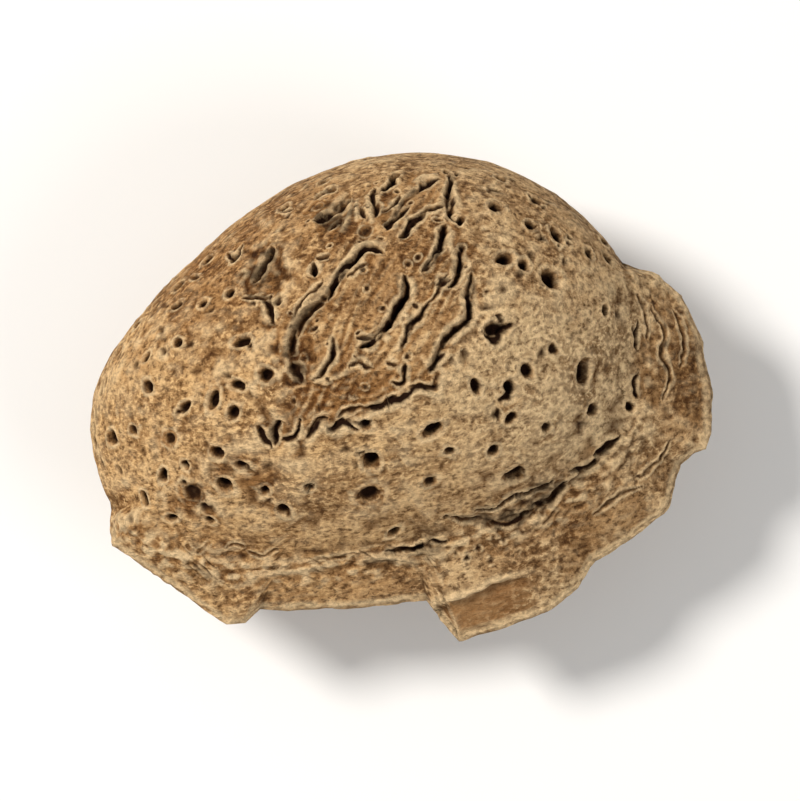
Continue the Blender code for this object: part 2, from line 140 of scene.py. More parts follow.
# Grooves on the upper face: width, depth and a route in millimetres.
FACE_GROOVES = (
    (1.20, 0.60, ((-5.3, 1.9), (-5.3, 3.3), (-4.5, 4.5), (-3.2, 5.3))),
    (0.45, 0.45, ((-2.8, 5.7), (-1.9, 6.6), (-0.7, 7.5), (0.3, 7.2))),
    (0.55, 0.50, ((1.1, 5.8), (0.8, 4.5), (0.0, 3.6), (-1.6, 2.4))),
    (0.80, 0.65, ((4.6, 5.1), (4.3, 3.6), (3.9, 2.8), (2.7, 2.0), (1.8, 0.7))),
    (0.50, 0.45, ((1.2, 3.1), (0.4, 2.0))),
    (0.75, 0.60, ((2.2, 6.0), (3.1, 6.8), (3.7, 7.9))),
    (0.70, 0.60, ((4.6, 6.8), (4.2, 6.3), (3.8, 5.5))),
    (0.65, 0.55, ((4.6, 11.2), (4.2, 10.0), (4.0, 8.8))),
    (0.60, 0.50, ((2.4, 8.9), (1.9, 8.5), (1.2, 7.9))),
    (0.60, 0.50, ((3.8, 10.9), (2.6, 10.5), (1.6, 9.8), (0.9, 8.9))),
    (1.10, 0.60, ((-3.0, 9.9), (-2.2, 10.2), (-1.1, 10.6))),
    (0.60, 0.50, ((-3.1, 3.1), (-3.3, 2.1), (-4.3, 1.1))),
    (0.80, 0.70, ((-7.4, -0.2), (-7.1, -1.0), (-6.9, -1.9))),
    (0.60, 0.60, ((-3.6, 6.6), (-3.5, 7.3))),
    (0.85, 0.60, ((-5.8, 8.6), (-6.2, 7.9), (-6.8, 7.1))),
    (0.60, 0.55, ((-7.4, 6.1), (-6.3, 5.9), (-6.1, 4.5))),
    (0.70, 0.55, ((-10.6, -7.3), (-9.0, -7.3))),
    (0.55, 0.45, ((-2.2, -8.2), (-0.8, -8.3), (1.1, -8.2))),
    (1.20, 0.70, ((1.7, -7.1), (4.2, -7.5), (6.4, -7.2), (8.1, -6.3))),
    (0.70, 0.60, ((8.6, -5.8), (9.8, -5.3), (11.2, -4.3))),
    (0.60, 0.50, ((13.0, 1.7), (13.2, 0.6))),
    (0.45, 0.30, ((14.3, 3.2), (14.9, 1.4), (14.5, -0.4), (14.9, -2.4))),
)

# Thin cracks, painted dark as their shade: width, depth and a route. They lie in the grooves, along the ledges
# and on the keel.
CRACKS = (
    (0.30, 0.26, ((-3.1, 5.2), (-2.5, 6.0), (-2.0, 6.6), (-1.3, 7.1), (-0.7, 7.6), (-0.2, 7.5), (0.2, 7.1))),
    (0.20, 0.16, ((-1.8, 6.2), (-1.3, 6.6), (-0.7, 6.8))),
    (0.40, 0.34, ((-5.2, 1.1), (-5.3, 1.6), (-5.5, 2.2))),
    (0.26, 0.20, ((-5.5, 2.6), (-5.3, 3.0), (-5.2, 3.7))),
    (0.26, 0.20, ((-5.1, 3.5), (-4.7, 4.2), (-4.2, 4.6), (-3.4, 5.1))),
    (0.34, 0.30, ((-3.1, 3.1), (-3.2, 2.3), (-3.6, 1.7), (-4.1, 1.3), (-4.6, 1.1))),
    (0.34, 0.34, ((1.1, 5.8), (1.2, 5.1), (0.9, 4.6), (0.5, 4.0), (0.1, 3.5), (-0.4, 3.1), (-1.0, 2.7))),
    (0.28, 0.24, ((-0.7, 2.9), (-1.2, 2.5), (-1.8, 2.4))),
    (0.22, 0.18, ((-0.9, 2.7), (-1.4, 2.8), (-1.9, 2.9))),
    (0.26, 0.20, ((0.4, 1.9), (0.7, 2.5), (1.1, 3.1), (1.7, 3.6), (2.3, 4.1))),
    (0.24, 0.16, ((2.3, 4.1), (2.8, 4.8), (3.5, 5.3))),
    (0.48, 0.50, ((4.7, 5.3), (4.4, 4.4), (4.3, 3.6), (4.1, 3.0), (3.4, 2.4), (2.8, 2.1), (2.5, 1.9))),
    (0.34, 0.34, ((2.6, 1.4), (2.1, 1.0), (1.7, 0.5))),
    (0.40, 0.40, ((4.6, 6.9), (4.3, 6.5), (4.1, 5.8), (3.8, 5.2), (3.4, 4.9))),
    (0.24, 0.18, ((3.4, 5.6), (3.1, 5.3), (2.8, 5.0))),
    (0.36, 0.38, ((2.1, 5.9), (2.9, 6.6), (3.3, 7.2), (3.5, 7.7), (3.8, 8.2))),
    (0.30, 0.24, ((4.5, 11.2), (4.3, 10.4), (4.0, 9.9))),
    (0.30, 0.24, ((4.5, 9.8), (4.3, 9.2), (4.0, 8.7), (4.5, 8.3))),
    (0.28, 0.24, ((2.7, 10.5), (3.3, 10.9), (3.9, 10.9))),
    (0.24, 0.18, ((2.2, 9.0), (3.1, 9.2), (3.9, 9.3))),
    (0.28, 0.26, ((1.2, 7.9), (1.8, 8.4), (2.2, 8.8), (2.8, 9.0))),
    (0.28, 0.24, ((0.6, 8.5), (1.0, 8.9), (1.5, 9.3), (2.0, 9.6))),
    (0.30, 0.28, ((0.7, 10.8), (1.2, 11.0), (1.6, 11.5))),
    (0.30, 0.26, ((0.3, 11.0), (0.2, 10.5), (0.1, 10.1))),
    (0.24, 0.20, ((-2.9, 11.0), (-2.4, 11.3), (-1.9, 11.4))),
    (0.40, 0.36, ((-3.1, 9.7), (-2.6, 9.9), (-2.2, 10.1), (-1.7, 10.2), (-1.1, 10.7))),
    (0.22, 0.16, ((-4.9, 10.6), (-4.2, 10.7))), (0.26, 0.22, ((0.6, 8.6), (1.1, 9.0), (1.6, 9.4))),
    (0.26, 0.20, ((0.6, 9.6), (1.2, 9.9), (1.7, 10.3))), (0.30, 0.24, ((0.1, 9.3), (0.2, 9.9), (0.1, 10.6))),
    (0.30, 0.24, ((1.4, 8.1), (2.0, 8.7), (2.9, 9.1))), (0.24, 0.18, ((-2.4, 9.0), (-1.9, 9.7))),
    (0.26, 0.20, ((2.9, 4.9), (3.6, 5.1))), (0.22, 0.16, ((-5.0, 4.6), (-4.0, 5.6), (-3.2, 6.2))),
    (0.26, 0.18, ((-0.6, 9.9), (-0.4, 9.3))),
    (0.22, 0.16, ((-1.7, 9.8), (-1.6, 9.2))),
    (0.40, 0.36, ((-5.6, 8.7), (-5.8, 8.4), (-6.1, 8.0), (-6.5, 7.4), (-7.0, 6.9))),
    (0.34, 0.36, ((-3.5, 7.3), (-3.55, 6.5))),
    (0.20, 0.14, ((-3.3, 7.5), (-2.6, 7.5))),
    (0.20, 0.16, ((-7.6, 6.1), (-6.6, 6.0), (-6.1, 5.9))),
    (0.34, 0.32, ((-6.4, 5.9), (-6.2, 5.2), (-6.1, 4.4))),
    (0.28, 0.24, ((-8.1, 9.0), (-7.7, 8.5), (-7.2, 9.2))),
    (0.26, 0.22, ((2.0, 0.2), (1.9, -0.4), (1.5, -0.4), (1.1, -0.15), (0.7, -0.3), (0.2, -0.6))),
    (0.30, 0.26, ((0.8, -0.3), (0.0, -0.7), (-0.5, -0.75), (-1.2, -0.9), (-2.0, -1.0))),
    (0.20, 0.14, ((-1.9, -1.0), (-3.0, -1.0), (-3.6, -1.2))),
    (0.36, 0.34, ((-5.3, -1.9), (-4.8, -1.4), (-4.4, -1.1), (-4.1, -1.2))),
    (0.30, 0.28, ((-4.1, -1.5), (-3.8, -1.7), (-3.3, -1.5), (-2.9, -1.7), (-2.5, -1.9))),
    (0.22, 0.16, ((-3.2, -1.4), (-2.4, -1.5), (-1.7, -1.5))),
    (0.32, 0.28, ((0.4, 1.1), (0.3, 0.5), (0.1, 0.1), (-0.4, 0.3))),
    (0.28, 0.20, ((-2.5, 1.3), (-2.0, 1.6), (-1.7, 1.4), (-1.3, 1.1))),
    (0.26, 0.20, ((-0.5, 1.4), (-0.2, 1.3), (0.0, 1.1))),
    (0.34, 0.36, ((-6.6, -0.8), (-6.9, -1.4), (-7.0, -2.0))),
    (0.26, 0.22, ((-7.8, -0.8), (-7.5, -1.5), (-7.2, -2.1))),
    (0.32, 0.28, ((-5.6, -0.8), (-5.8, -1.5), (-6.2, -1.8), (-6.6, -1.8))),
    (0.34, 0.34, ((4.8, 2.2), (5.1, 1.8), (5.6, 1.7), (6.0, 2.2), (6.4, 2.4))),
    (0.24, 0.18, ((5.6, 3.0), (5.9, 2.5))),
    (0.30, 0.30, ((6.0, -0.7), (5.6, -1.2), (5.1, -1.6))),
    (0.24, 0.18, ((5.0, -1.9), (5.0, -2.5))),
    (0.18, 0.07, ((-12.7, -6.2), (-12.1, -6.6), (-11.3, -6.4))),
    (0.16, 0.06, ((-10.9, -6.9), (-10.2, -6.6), (-9.6, -6.9))),
    (0.20, 0.10, ((-9.4, -7.1), (-8.7, -7.4), (-7.8, -7.3))),
    (0.14, 0.05, ((-9.7, -8.1), (-8.4, -8.3), (-7.2, -8.1))),
    (0.16, 0.08, ((-6.4, -8.2), (-5.2, -8.1), (-3.6, -8.2))),
    (0.28, 0.22, ((-2.1, -8.2), (-0.8, -8.35), (0.2, -8.1), (1.3, -8.2))),
    (0.20, 0.10, ((1.6, -7.0), (2.4, -7.3), (3.4, -7.3))),
    (0.34, 0.26, ((3.8, -7.7), (4.9, -7.9), (5.9, -7.4))),
    (0.30, 0.24, ((3.0, -6.9), (4.2, -6.9), (5.2, -6.5), (6.4, -6.4), (7.6, -5.9))),
    (0.36, 0.28, ((6.2, -7.1), (7.2, -6.9), (8.2, -6.1))),
    (0.42, 0.36, ((8.3, -5.7), (9.4, -5.5), (10.0, -5.2))),
    (0.36, 0.32, ((9.9, -4.9), (10.5, -4.7), (11.3, -4.1))),
    (0.30, 0.24, ((13.3, 1.9), (13.1, 1.1), (13.2, 0.4))),
    (0.26, 0.20, ((12.9, -0.9), (12.6, -1.6), (12.7, -2.2))),
    (0.24, 0.14, ((14.2, 2.6), (14.8, 1.2), (14.4, -0.1), (14.8, -1.0), (14.0, -2.5))),
    (0.20, 0.10, ((15.6, 2.4), (15.9, 0.9), (15.5, -0.8))),
    (0.20, 0.10, ((13.6, 3.4), (13.9, 2.2), (13.8, 0.9))),
    (0.20, 0.10, ((12.0, -6.4), (13.0, -6.0), (14.2, -4.7))),
    (0.20, 0.10, ((9.4, -8.1), (11.0, -7.2), (12.4, -6.9))),
)

# Narrow ridges beside the cracks, their crests painted pale, a highlight with some wear: width, height and a
# route.
RIDGES = (
    (0.30, 0.14, ((3.0, 1.8), (3.7, 2.3), (4.5, 2.8))), (0.30, 0.12, ((1.4, 5.7), (1.5, 5.1), (1.3, 4.6))),
    (0.28, 0.10, ((0.7, 3.9), (1.0, 3.5))), (0.30, 0.10, ((-0.5, 2.5), (-0.1, 2.8))),
    (0.30, 0.12, ((-3.2, 5.7), (-2.4, 6.5), (-1.5, 7.3), (-0.9, 7.8), (-0.1, 7.8), (0.5, 7.5))),
    (0.34, 0.14, ((-4.6, -1.7), (-4.3, -1.5), (-4.0, -1.9))), (0.30, 0.12, ((-7.3, -1.0), (-7.2, -1.7))),
    (0.24, 0.09, ((-1.8, 8.7), (-1.3, 9.6), (-1.0, 10.7))), (0.22, 0.08, ((-0.9, 9.2), (-0.7, 10.6))),
    (0.24, 0.09, ((-0.1, 8.9), (-0.1, 10.4))), (0.30, 0.12, ((2.5, 10.9), (3.0, 11.2), (3.9, 11.2))),
    (0.30, 0.12, ((3.9, 6.6), (3.8, 7.3), (4.1, 7.9))), (0.26, 0.10, ((1.6, 9.0), (2.0, 8.3), (1.5, 8.2))),
    (0.30, 0.12, ((4.5, 10.6), (4.6, 9.9), (4.7, 9.0))), (0.26, 0.10, ((1.7, 0.3), (2.2, 0.8), (2.8, 1.4))),
    (0.26, 0.10, ((-3.4, 7.3), (-3.1, 6.9))), (0.26, 0.10, ((-5.9, 5.2), (-5.8, 4.6))),
    (0.40, 0.12, ((-3.8, -8.5), (-2.4, -8.6), (-1.3, -8.9), (-0.4, -9.3))),
    (0.34, 0.10, ((0.2, -11.3), (1.6, -11.3), (3.3, -10.8))), (0.30, 0.09, ((-1.0, -8.6), (1.2, -8.6))),
    (0.30, 0.08, ((-10.0, -8.4), (-7.0, -8.6), (-4.6, -8.5))),
)

# More small holes on the upper face, which are too fine for a solid: x, y, radius and depth.
FINE_PITS = (
    (4.4, 6.9, 0.22, 0.3), (4.3, 11.4, 0.22, 0.3), (4.9, 11.2, 0.18, 0.2), (4.5, 8.3, 0.20, 0.3),
    (-5.2, 1.35, 0.20, 0.3), (-5.7, 8.6, 0.22, 0.3), (-5.7, 5.5, 0.24, 0.3), (-7.3, -0.4, 0.24, 0.4),
    (-6.1, 5.9, 0.14, 0.2), (-0.5, 8.6, 0.34, 0.2), (-8.3, 1.3, 0.22, 0.3), (-7.5, 3.5, 0.20, 0.2),
    (-7.4, 7.4, 0.18, 0.2), (-6.2, 3.0, 0.16, 0.2), (3.6, 1.2, 0.18, 0.2), (3.0, 1.0, 0.16, 0.2),
    (4.8, -0.5, 0.14, 0.2), (5.2, 3.4, 0.16, 0.2), (1.5, 10.6, 0.18, 0.2), (0.9, 10.9, 0.18, 0.2),
    (-2.8, 10.5, 0.24, 0.1), (-2.5, -0.2, 0.18, 0.2), (-4.5, -0.6, 0.18, 0.2), (-4.9, 2.3, 0.20, 0.2),
    (-4.0, 3.8, 0.20, 0.2), (-0.6, -2.3, 0.16, 0.2), (9.5, 2.4, 0.18, 0.2), (8.7, 2.3, 0.16, 0.1),
    (10.3, 6.8, 0.18, 0.2), (8.6, 9.4, 0.20, 0.2), (9.2, 8.6, 0.18, 0.2), (8.8, 6.9, 0.22, 0.3),
    (6.8, 9.9, 0.16, 0.2), (-11.9, 0.7, 0.18, 0.2), (-13.9, 3.7, 0.18, 0.2), (-10.8, 4.1, 0.18, 0.2),
    (-12.2, 4.0, 0.20, 0.2), (-9.4, 5.8, 0.16, 0.2), (-11.6, 2.8, 0.14, 0.1), (-15.2, 1.6, 0.16, 0.2),
    (-14.9, -1.2, 0.18, 0.2), (-13.6, -3.6, 0.20, 0.2), (-12.9, -5.4, 0.18, 0.2), (-11.4, -4.4, 0.24, 0.3),
    (-10.6, -2.6, 0.22, 0.3), (-9.4, -4.8, 0.18, 0.2), (-8.7, -2.9, 0.26, 0.2), (-7.6, -2.9, 0.16, 0.2),
    (-15.4, -4.4, 0.18, 0.2), (-6.9, -5.6, 0.16, 0.1), (2.9, -8.9, 0.18, 0.2), (3.4, -9.7, 0.16, 0.2),
    (2.2, -9.3, 0.16, 0.2), (4.3, -8.7, 0.16, 0.1), (5.0, -9.4, 0.16, 0.1), (1.6, -8.9, 0.14, 0.1),
)

# The scar where a thin outer layer has torn away, and the flake missing from the keel.
SCAR_OUTLINE = (
    (-5.2, -1.9), (-4.6, -1.1), (-3.6, -1.6), (-2.4, -1.3), (-1.0, -0.9), (0.2, -0.4), (1.1, -0.1),
    (1.9, -0.5), (2.2, 0.3), (1.2, 1.3), (-1.4, 1.5), (-3.6, 0.7), (-5.6, 1.4), (-6.0, -0.4),
)
SCAR_DEPTH = 0.34
FIBRE_SLANT = math.radians(52)
FIBRE_HEIGHT = 0.11
TORN_OUTLINE = (
    (-6.3, 0.5), (-6.0, 4.2), (-4.3, 6.4), (-3.8, 10.6), (0.5, 11.8), (4.8, 11.7), (5.3, 8.0), (5.4, 4.4),
    (3.6, 1.4), (0.6, -0.4), (-3.0, -1.2), (-5.6, -1.6),
)
FLAKE_OUTLINE = (
    (0.2, -11.5), (1.8, -11.3), (3.4, -10.9), (5.6, -10.7), (7.4, -11.4), (6.4, -13.4), (1.0, -14.4),
    (-0.4, -12.6),
)
FLAKE_DEPTH = 0.30

# Ledges where one layer of shell laps over the next: the step's height, how far the upper and the lower
# side reach, and a route whose left side lies higher.
LEDGES = (
    (0.42, 1.1, 1.2, ((-5.6, 1.4), (-5.5, 3.2), (-4.6, 4.6), (-3.2, 5.5), (-2.1, 6.4), (-0.8, 7.6))),
    (0.46, 1.3, 0.8, ((-2.0, 2.4), (-0.9, 2.7), (0.2, 3.8), (0.9, 4.8), (1.1, 6.0))),
    (0.20, 0.8, 0.6, ((0.2, 1.7), (0.8, 2.6), (1.3, 3.4), (2.1, 3.9))),
    (0.46, 1.0, 0.5, ((1.7, 0.6), (2.7, 2.0), (4.0, 2.9), (4.5, 4.3), (4.6, 5.4))),
    (0.30, 0.8, 0.5, ((3.7, 5.1), (4.1, 6.1), (4.6, 7.0))),
    (0.32, 0.8, 0.6, ((2.0, 5.8), (3.1, 6.8), (3.7, 8.1))),
    (0.30, 0.7, 0.6, ((4.5, 8.2), (4.0, 8.8), (4.2, 10.0), (4.7, 11.4))),
    (0.26, 0.8, 0.7, ((0.8, 8.7), (1.6, 9.8), (2.6, 10.5), (3.9, 10.9))),
    (0.22, 0.6, 0.6, ((1.2, 7.8), (1.9, 8.5), (2.6, 9.1))),
    (0.30, 0.8, 0.8, ((-3.2, 9.6), (-2.2, 10.2), (-1.0, 10.9))),
    (0.26, 0.7, 0.7, ((-7.0, 6.9), (-6.2, 7.9), (-5.7, 8.8))),
    (0.20, 0.6, 0.6, ((-4.4, 1.0), (-3.3, 2.0), (-3.0, 3.3))),
    (0.16, 0.7, 0.8, ((-10.2, -7.9), (-6.0, -8.2), (-2.8, -8.1))),
    (0.16, 0.4, 0.5, ((-3.9, -8.4), (-2.4, -8.5), (-1.2, -8.9), (-0.4, -9.3))),
    (0.24, 0.7, 0.6, ((-2.2, -8.2), (-0.4, -8.3), (1.4, -8.2))),
    (0.26, 1.2, 0.9, ((1.5, -6.9), (4.2, -7.5), (6.4, -7.2), (8.2, -6.2), (9.8, -5.3), (11.4, -4.1))),
    (0.14, 0.4, 0.4, ((-12.6, -6.3), (-11.2, -6.9), (-9.8, -7.0))),
    (0.12, 0.4, 0.4, ((-12.0, -7.1), (-11.0, -7.5), (-9.8, -7.5))),
)

# Brown blotches, each a little sunk, and dark where strong: x, y, radius and strength. Some are painted shade
# rather than stains: those in the wide groove at the left, in the crease by the keel and the broad ones along
# the back.
STAINS = (
    (-6.5, 7.4, 1.2, 1.3), (-5.9, 8.3, 0.8, 1.3), (-6.0, 6.4, 0.8, 0.8), (-2.4, 9.8, 1.1, 1.3),
    (-1.4, 9.5, 1.1, 1.1), (-1.9, 8.8, 1.0, 0.8), (-0.5, 8.6, 0.6, 1.3), (-5.1, 2.8, 1.1, 1.2),
    (-5.2, 1.4, 0.8, 1.3), (-4.6, 4.2, 0.9, 1.1), (-3.4, 5.2, 0.7, 0.9), (-3.0, 1.2, 1.6, 0.5),
    (-0.6, 0.7, 1.4, 0.5), (1.9, 9.6, 1.3, 0.6), (0.6, 9.8, 0.9, 1.0), (-4.9, 10.9, 1.2, 0.6),
    (0.4, 4.2, 0.9, 0.8), (4.4, 4.2, 0.7, 0.9), (3.6, 2.6, 0.8, 0.8), (4.3, 6.4, 0.7, 0.9),
    (-3.2, 2.4, 0.8, 0.7), (1.6, 8.2, 0.8, 0.8), (4.3, 9.4, 0.8, 0.9), (2.9, 10.8, 0.9, 0.8),
    (-11.9, -3.8, 1.3, 0.8), (-8.4, -3.8, 1.3, 0.8), (-12.6, -0.6, 0.6, 0.8), (-10.2, -3.0, 0.8, 0.7),
    (-10.2, -1.7, 0.5, 0.9), (-9.0, -2.6, 0.5, 0.8), (-11.3, -4.8, 0.6, 0.8), (3.5, -7.4, 0.7, 1.2),
    (4.7, -7.5, 0.8, 1.4), (5.8, -7.2, 0.9, 1.4), (6.8, -6.8, 0.9, 1.4), (7.8, -6.3, 0.6, 1.3),
    (5.0, -6.8, 1.6, 0.6), (14.5, -4.5, 1.8, 0.6), (11.4, -8.2, 1.8, 0.7), (14.4, 0.6, 1.8, 0.5),
    (-5.9, -0.6, 1.1, 0.9), (-6.8, -1.2, 1.0, 1.2), (9.8, 2.2, 0.9, 0.4), (3.6, -9.3, 1.6, 0.5),
    (-10.8, -6.9, 1.2, 0.6), (-13.5, 4.0, 0.9, 0.4), (8.6, 8.0, 1.0, 0.5), (3.4, 7.3, 0.8, 0.8),
    (-9.0, 7.6, 4.2, 0.55), (-3.0, 11.4, 3.4, 0.50), (4.0, 11.4, 4.0, 0.45), (9.0, 8.6, 3.6, 0.45),
    (-8.0, -9.0, 3.0, 0.40), (-2.0, -9.8, 2.8, 0.45), (4.6, -9.4, 3.2, 0.45), (8.8, -7.8, 3.4, 0.75),
    (16.0, -1.2, 3.8, 0.92), (10.4, 6.2, 3.8, 0.42), (0.8, 6.4, 3.4, 0.55), (13.0, -6.4, 2.6, 0.5),
    (-2.5, -5.2, 0.8, 0.5), (0.9, -5.1, 0.5, 0.5), (5.8, -1.6, 0.9, 0.6), (3.4, 5.0, 0.7, 0.9),
    (15.6, 1.2, 2.4, 0.8), (15.8, -2.4, 2.4, 0.8), (13.6, -6.6, 1.8, 0.6), (-9.6, 8.9, 1.5, 0.7),
    (-6.8, 9.9, 1.4, 0.6), (-4.4, 8.6, 1.1, 0.5), (8.6, -10.4, 1.6, 0.7), (5.0, -10.2, 1.2, 0.5),
    (-4.0, -9.4, 1.8, 0.4), (2.4, 2.9, 0.8, 0.5), (-8.0, 4.0, 0.8, 0.5), (-9.3, 1.5, 0.9, 0.6),
)
STAIN_SINK = 0.15

# Grooves that run along the hidden underside, bending round the nut as its outline does.
UNDER_GROOVES = (
    ((-9.8, 4.6), (-6.6, 6.2), (-3.0, 7.0)), ((1.8, 7.4), (5.4, 7.0), (8.6, 5.2)),
    ((-13.0, -1.0), (-9.4, -1.6), (-6.4, -1.4)), ((6.4, 1.2), (9.0, 0.9), (11.4, 0.2)),
    ((-9.4, -5.4), (-5.6, -5.8), (-1.6, -5.4)), ((2.6, -5.0), (5.6, -4.6), (8.8, -3.2)),
    ((-5.2, 9.8), (-1.4, 10.8), (2.8, 10.6)),
)
UNDER_GROOVE_SIZE = (0.85, 0.55)
UNDER_CRACK_SIZE = (0.34, 0.34)

# A pit's mouth is stretched and dented by chance. Smaller pits are strewn over the rest of the shell, and
# pores between them.
PIT_SIDES = 6
PIT_STRETCH = (0.85, 1.35)
PIT_DENT = (0.86, 1.12)
PIT_SEED = 41
STREWN_PITS = 70
STREWN_RADIUS = (0.30, 0.50)
STREWN_DEPTH = 1.2
STREWN_GAP = 1.15
LINE_REACH = 0.22
REST_CLEARANCE = 6.5
KEEL_CLEARANCE = 0.9
PORE_SEED = 7
PORES = 260
PORE_RADIUS = (0.10, 0.20)
PORE_GAP = 0.62


def rounded_ring(points, steps=12):
    """Points of a smooth closed curve through the given ones."""
    ring = np.array(points)
    before, after, beyond = (np.roll(ring, shift, axis=0) for shift in (1, -1, -2))
    curve = []
    for t in np.arange(steps) / steps:
        bend = (-before + 3 * ring - 3 * after + beyond) * t**3
        turn = (2 * before - 5 * ring + 4 * after - beyond) * t**2
        curve.append((2 * ring + (after - before) * t + turn + bend) / 2)
    return np.stack(curve, axis=1).reshape(-1, 2)


def straight_run(points, steps=12):
    """Points along the straight stretches of an open outline, corners included."""
    run = np.array(points)
    share = np.arange(steps)[:, None] / steps
    stretches = [start + (end - start) * share for start, end in zip(run[:-1], run[1:])]
    return np.vstack(stretches + [run[-1:]])


def as_bearings(points):
    """Bearing and distance of each point from CENTRE, in order of bearing."""
    offset = points - np.array(CENTRE)
    bearing = np.arctan2(offset[:, 1], offset[:, 0])
    order = np.argsort(bearing)
    return bearing[order], np.hypot(offset[:, 0], offset[:, 1])[order]


BODY_RING = as_bearings(rounded_ring(BODY_OUTLINE))
KEEL_RING = as_bearings(straight_run(KEEL_OUTLINE))


def body_radius(bearing):
    """Distance from CENTRE to the edge of the nut's body."""
    return np.interp(bearing, *BODY_RING, period=math.tau)


def full_radius(bearing):
    """Distance from CENTRE to the outer edge, keel included."""
    keel = np.interp(bearing, *KEEL_RING, left=0.0, right=0.0)
    return np.maximum(body_radius(bearing), keel)


def smooth_step(low, high, value):
    share = np.clip((value - low) / (high - low), 0.0, 1.0)
    return share * share * (3.0 - 2.0 * share)


def grain(points, scale, offset=0.0):
    """Smooth noise at each row of points, between about -1 and 1."""
    stretched = points * np.array(scale) + offset
    return np.array([noise.noise(Vector(row)) for row in stretched.tolist()])


def half_height(bearing, reach, crown):
    """Height over the middle plane, at a reach of 0 in the centre to 1 at the outer edge."""
    inner = body_radius(bearing)
    outer = full_radius(bearing)
    keel = smooth_step(0.0, KEEL_FADE, outer - inner)
    share = reach * outer / inner

    # The back is round, and the keel side and the point slope away like a wedge.
    bend = BACK_BEND + KEEL_SIDE_BEND * smooth_step(*KEEL_SIDE, -np.sin(bearing))
    bend = bend + POINT_BEND * smooth_step(*POINT_SIDE, -np.cos(bearing))
    inside = 1.0 - share**BODY_FALLOFF
    body = crown * np.sign(inside) * np.abs(inside) ** bend

    across = np.clip((1.0 - reach) * outer / np.maximum(outer - inner, 0.05), 0.0, 1.0)
    plate = keel * (KEEL_EDGE + (KEEL_ROOT - KEEL_EDGE) * across)
    plate = plate * np.sqrt(1.0 - reach**EDGE_ROUNDING)
    blend = CREASE_BLEND * keel
    return (body + plate + np.sqrt((body - plate) ** 2 + blend**2)) / 2


def skin_points(directions):
    """The smooth shell's surface in each direction, in millimetres round the middle plane."""
    x, y, z = directions.T
    bearing = np.arctan2(y, x)
    reach = np.minimum(np.hypot(x, y), 1.0)
    outer = full_radius(bearing)
    crown = np.where(z > 0.0, CROWN_HEIGHT, UNDERSIDE_DEPTH)
    height = half_height(bearing, reach, crown) * (np.abs(z) > 1e-6)
    height *= 1.0 + sum(strength * grain(directions, fineness) for strength, fineness in LUMPS)
    height *= 1.0 + STEM_FULLNESS * reach * np.cos(bearing)
    wave = WAVE_HEIGHT * reach**WAVE_FALLOFF * np.sin(2.0 * bearing + WAVE_START)
    plan_x = CENTRE[0] + outer * reach * np.cos(bearing)
    plan_y = CENTRE[1] + outer * reach * np.sin(bearing)
    return np.stack([plan_x, plan_y, np.copysign(height, z) + wave], axis=1)


def skin_frame(direction):
    """The surface point in a direction, and a turning matrix whose Z points outward there."""
    side = direction.orthogonal().normalized() * FRAME_STEP
    across = direction.cross(side)
    nearby = (direction, (direction + side).normalized(), (direction + across).normalized())
    point, first, second = (Vector(row) for row in skin_points(np.array(nearby)))
    outward = (first - point).cross(second - point).normalized()
    return point, outward.to_track_quat("Z", "Y").to_matrix()


def direction_over(x, y, side=1.0):
    """The direction whose surface point lies over the given place, on the upper or lower side."""
    bearing = math.atan2(y - CENTRE[1], x - CENTRE[0])
    reach = math.hypot(x - CENTRE[0], y - CENTRE[1]) / float(full_radius(bearing))
    reach = min(reach, RIM_REACH)
    upward = side * math.sqrt(1.0 - reach * reach)
    return Vector((reach * math.cos(bearing), reach * math.sin(bearing), upward))


def groove_places(routes):
    """Surface points under the corners and the half-way places of the grooves."""
    places = []
    for route in routes:
        spots = [Vector(spot) for spot in route]
        spots += [first.lerp(second, 0.5) for first, second in zip(spots, spots[1:])]
        places += [direction_over(spot.x, spot.y) for spot in spots]
    return [Vector(row) for row in skin_points(np.array(places))]


def strewn_directions(count, gap, taken, dice):
    """Places for small holes: clear of each other, of the keel and of the flat spot."""
    places = list(taken)
    found = []
    rest = Vector((CENTRE[0], CENTRE[1], -UNDERSIDE_DEPTH))
    while len(found) < count:
        direction = Vector([dice.gauss(0.0, 1.0) for _ in range(3)]).normalized()
        point = Vector(skin_points(np.array([direction]))[0])
        bearing = math.atan2(direction.y, direction.x)
        reach = math.hypot(direction.x, direction.y)
        outer = float(full_radius(bearing))
        inner = float(body_radius(bearing))
        on_keel = outer > inner and reach * outer > KEEL_CLEARANCE * inner
        near_rest = (point - rest).length < REST_CLEARANCE
        crowded = any((point - place).length < gap for place in places)
        if on_keel or near_rest or crowded:
            continue
        places.append(point)
        found.append(direction)
    return found


def pit_form(direction, radius, depth, dice):
    """A pit's direction, its depth, the two radii of its mouth, the turn of the first, and its dents."""
    turn = dice.uniform(0.0, math.tau)
    stretch = dice.uniform(*PIT_STRETCH)
    dents = [dice.uniform(*PIT_DENT) for _ in range(2 * PIT_SIDES)]
    return direction, depth, radius * stretch, radius / stretch, turn, dents[:PIT_SIDES]


def all_pits():
    """The listed pits, and those strewn over the rest of the shell."""
    dice = random.Random(PIT_SEED)
    pits = [pit_form(direction_over(x, y), radius, depth, dice) for x, y, radius, depth in FACE_PITS]
    taken = [Vector(row) for row in skin_points(np.array([pit[0] for pit in pits]))]
    taken += groove_places(route for width, depth, route in FACE_GROOVES)
    for direction in strewn_directions(STREWN_PITS, STREWN_GAP, taken, dice):
        radius = dice.uniform(*STREWN_RADIUS)
        pits.append(pit_form(direction, radius, STREWN_DEPTH * radius, dice))
    return pits


def all_pores(pits):
    """Pinholes between the pits."""
    dice = random.Random(PORE_SEED)
    taken = [Vector(row) for row in skin_points(np.array([pit[0] for pit in pits]))]
    pores = [pit_form(direction_over(x, y), radius, depth, dice) for x, y, radius, depth in FINE_PITS]
    for direction in strewn_directions(PORES, PORE_GAP, taken, dice):
        radius = dice.uniform(*PORE_RADIUS)
        pores.append(pit_form(direction, radius, radius, dice))
    return pores


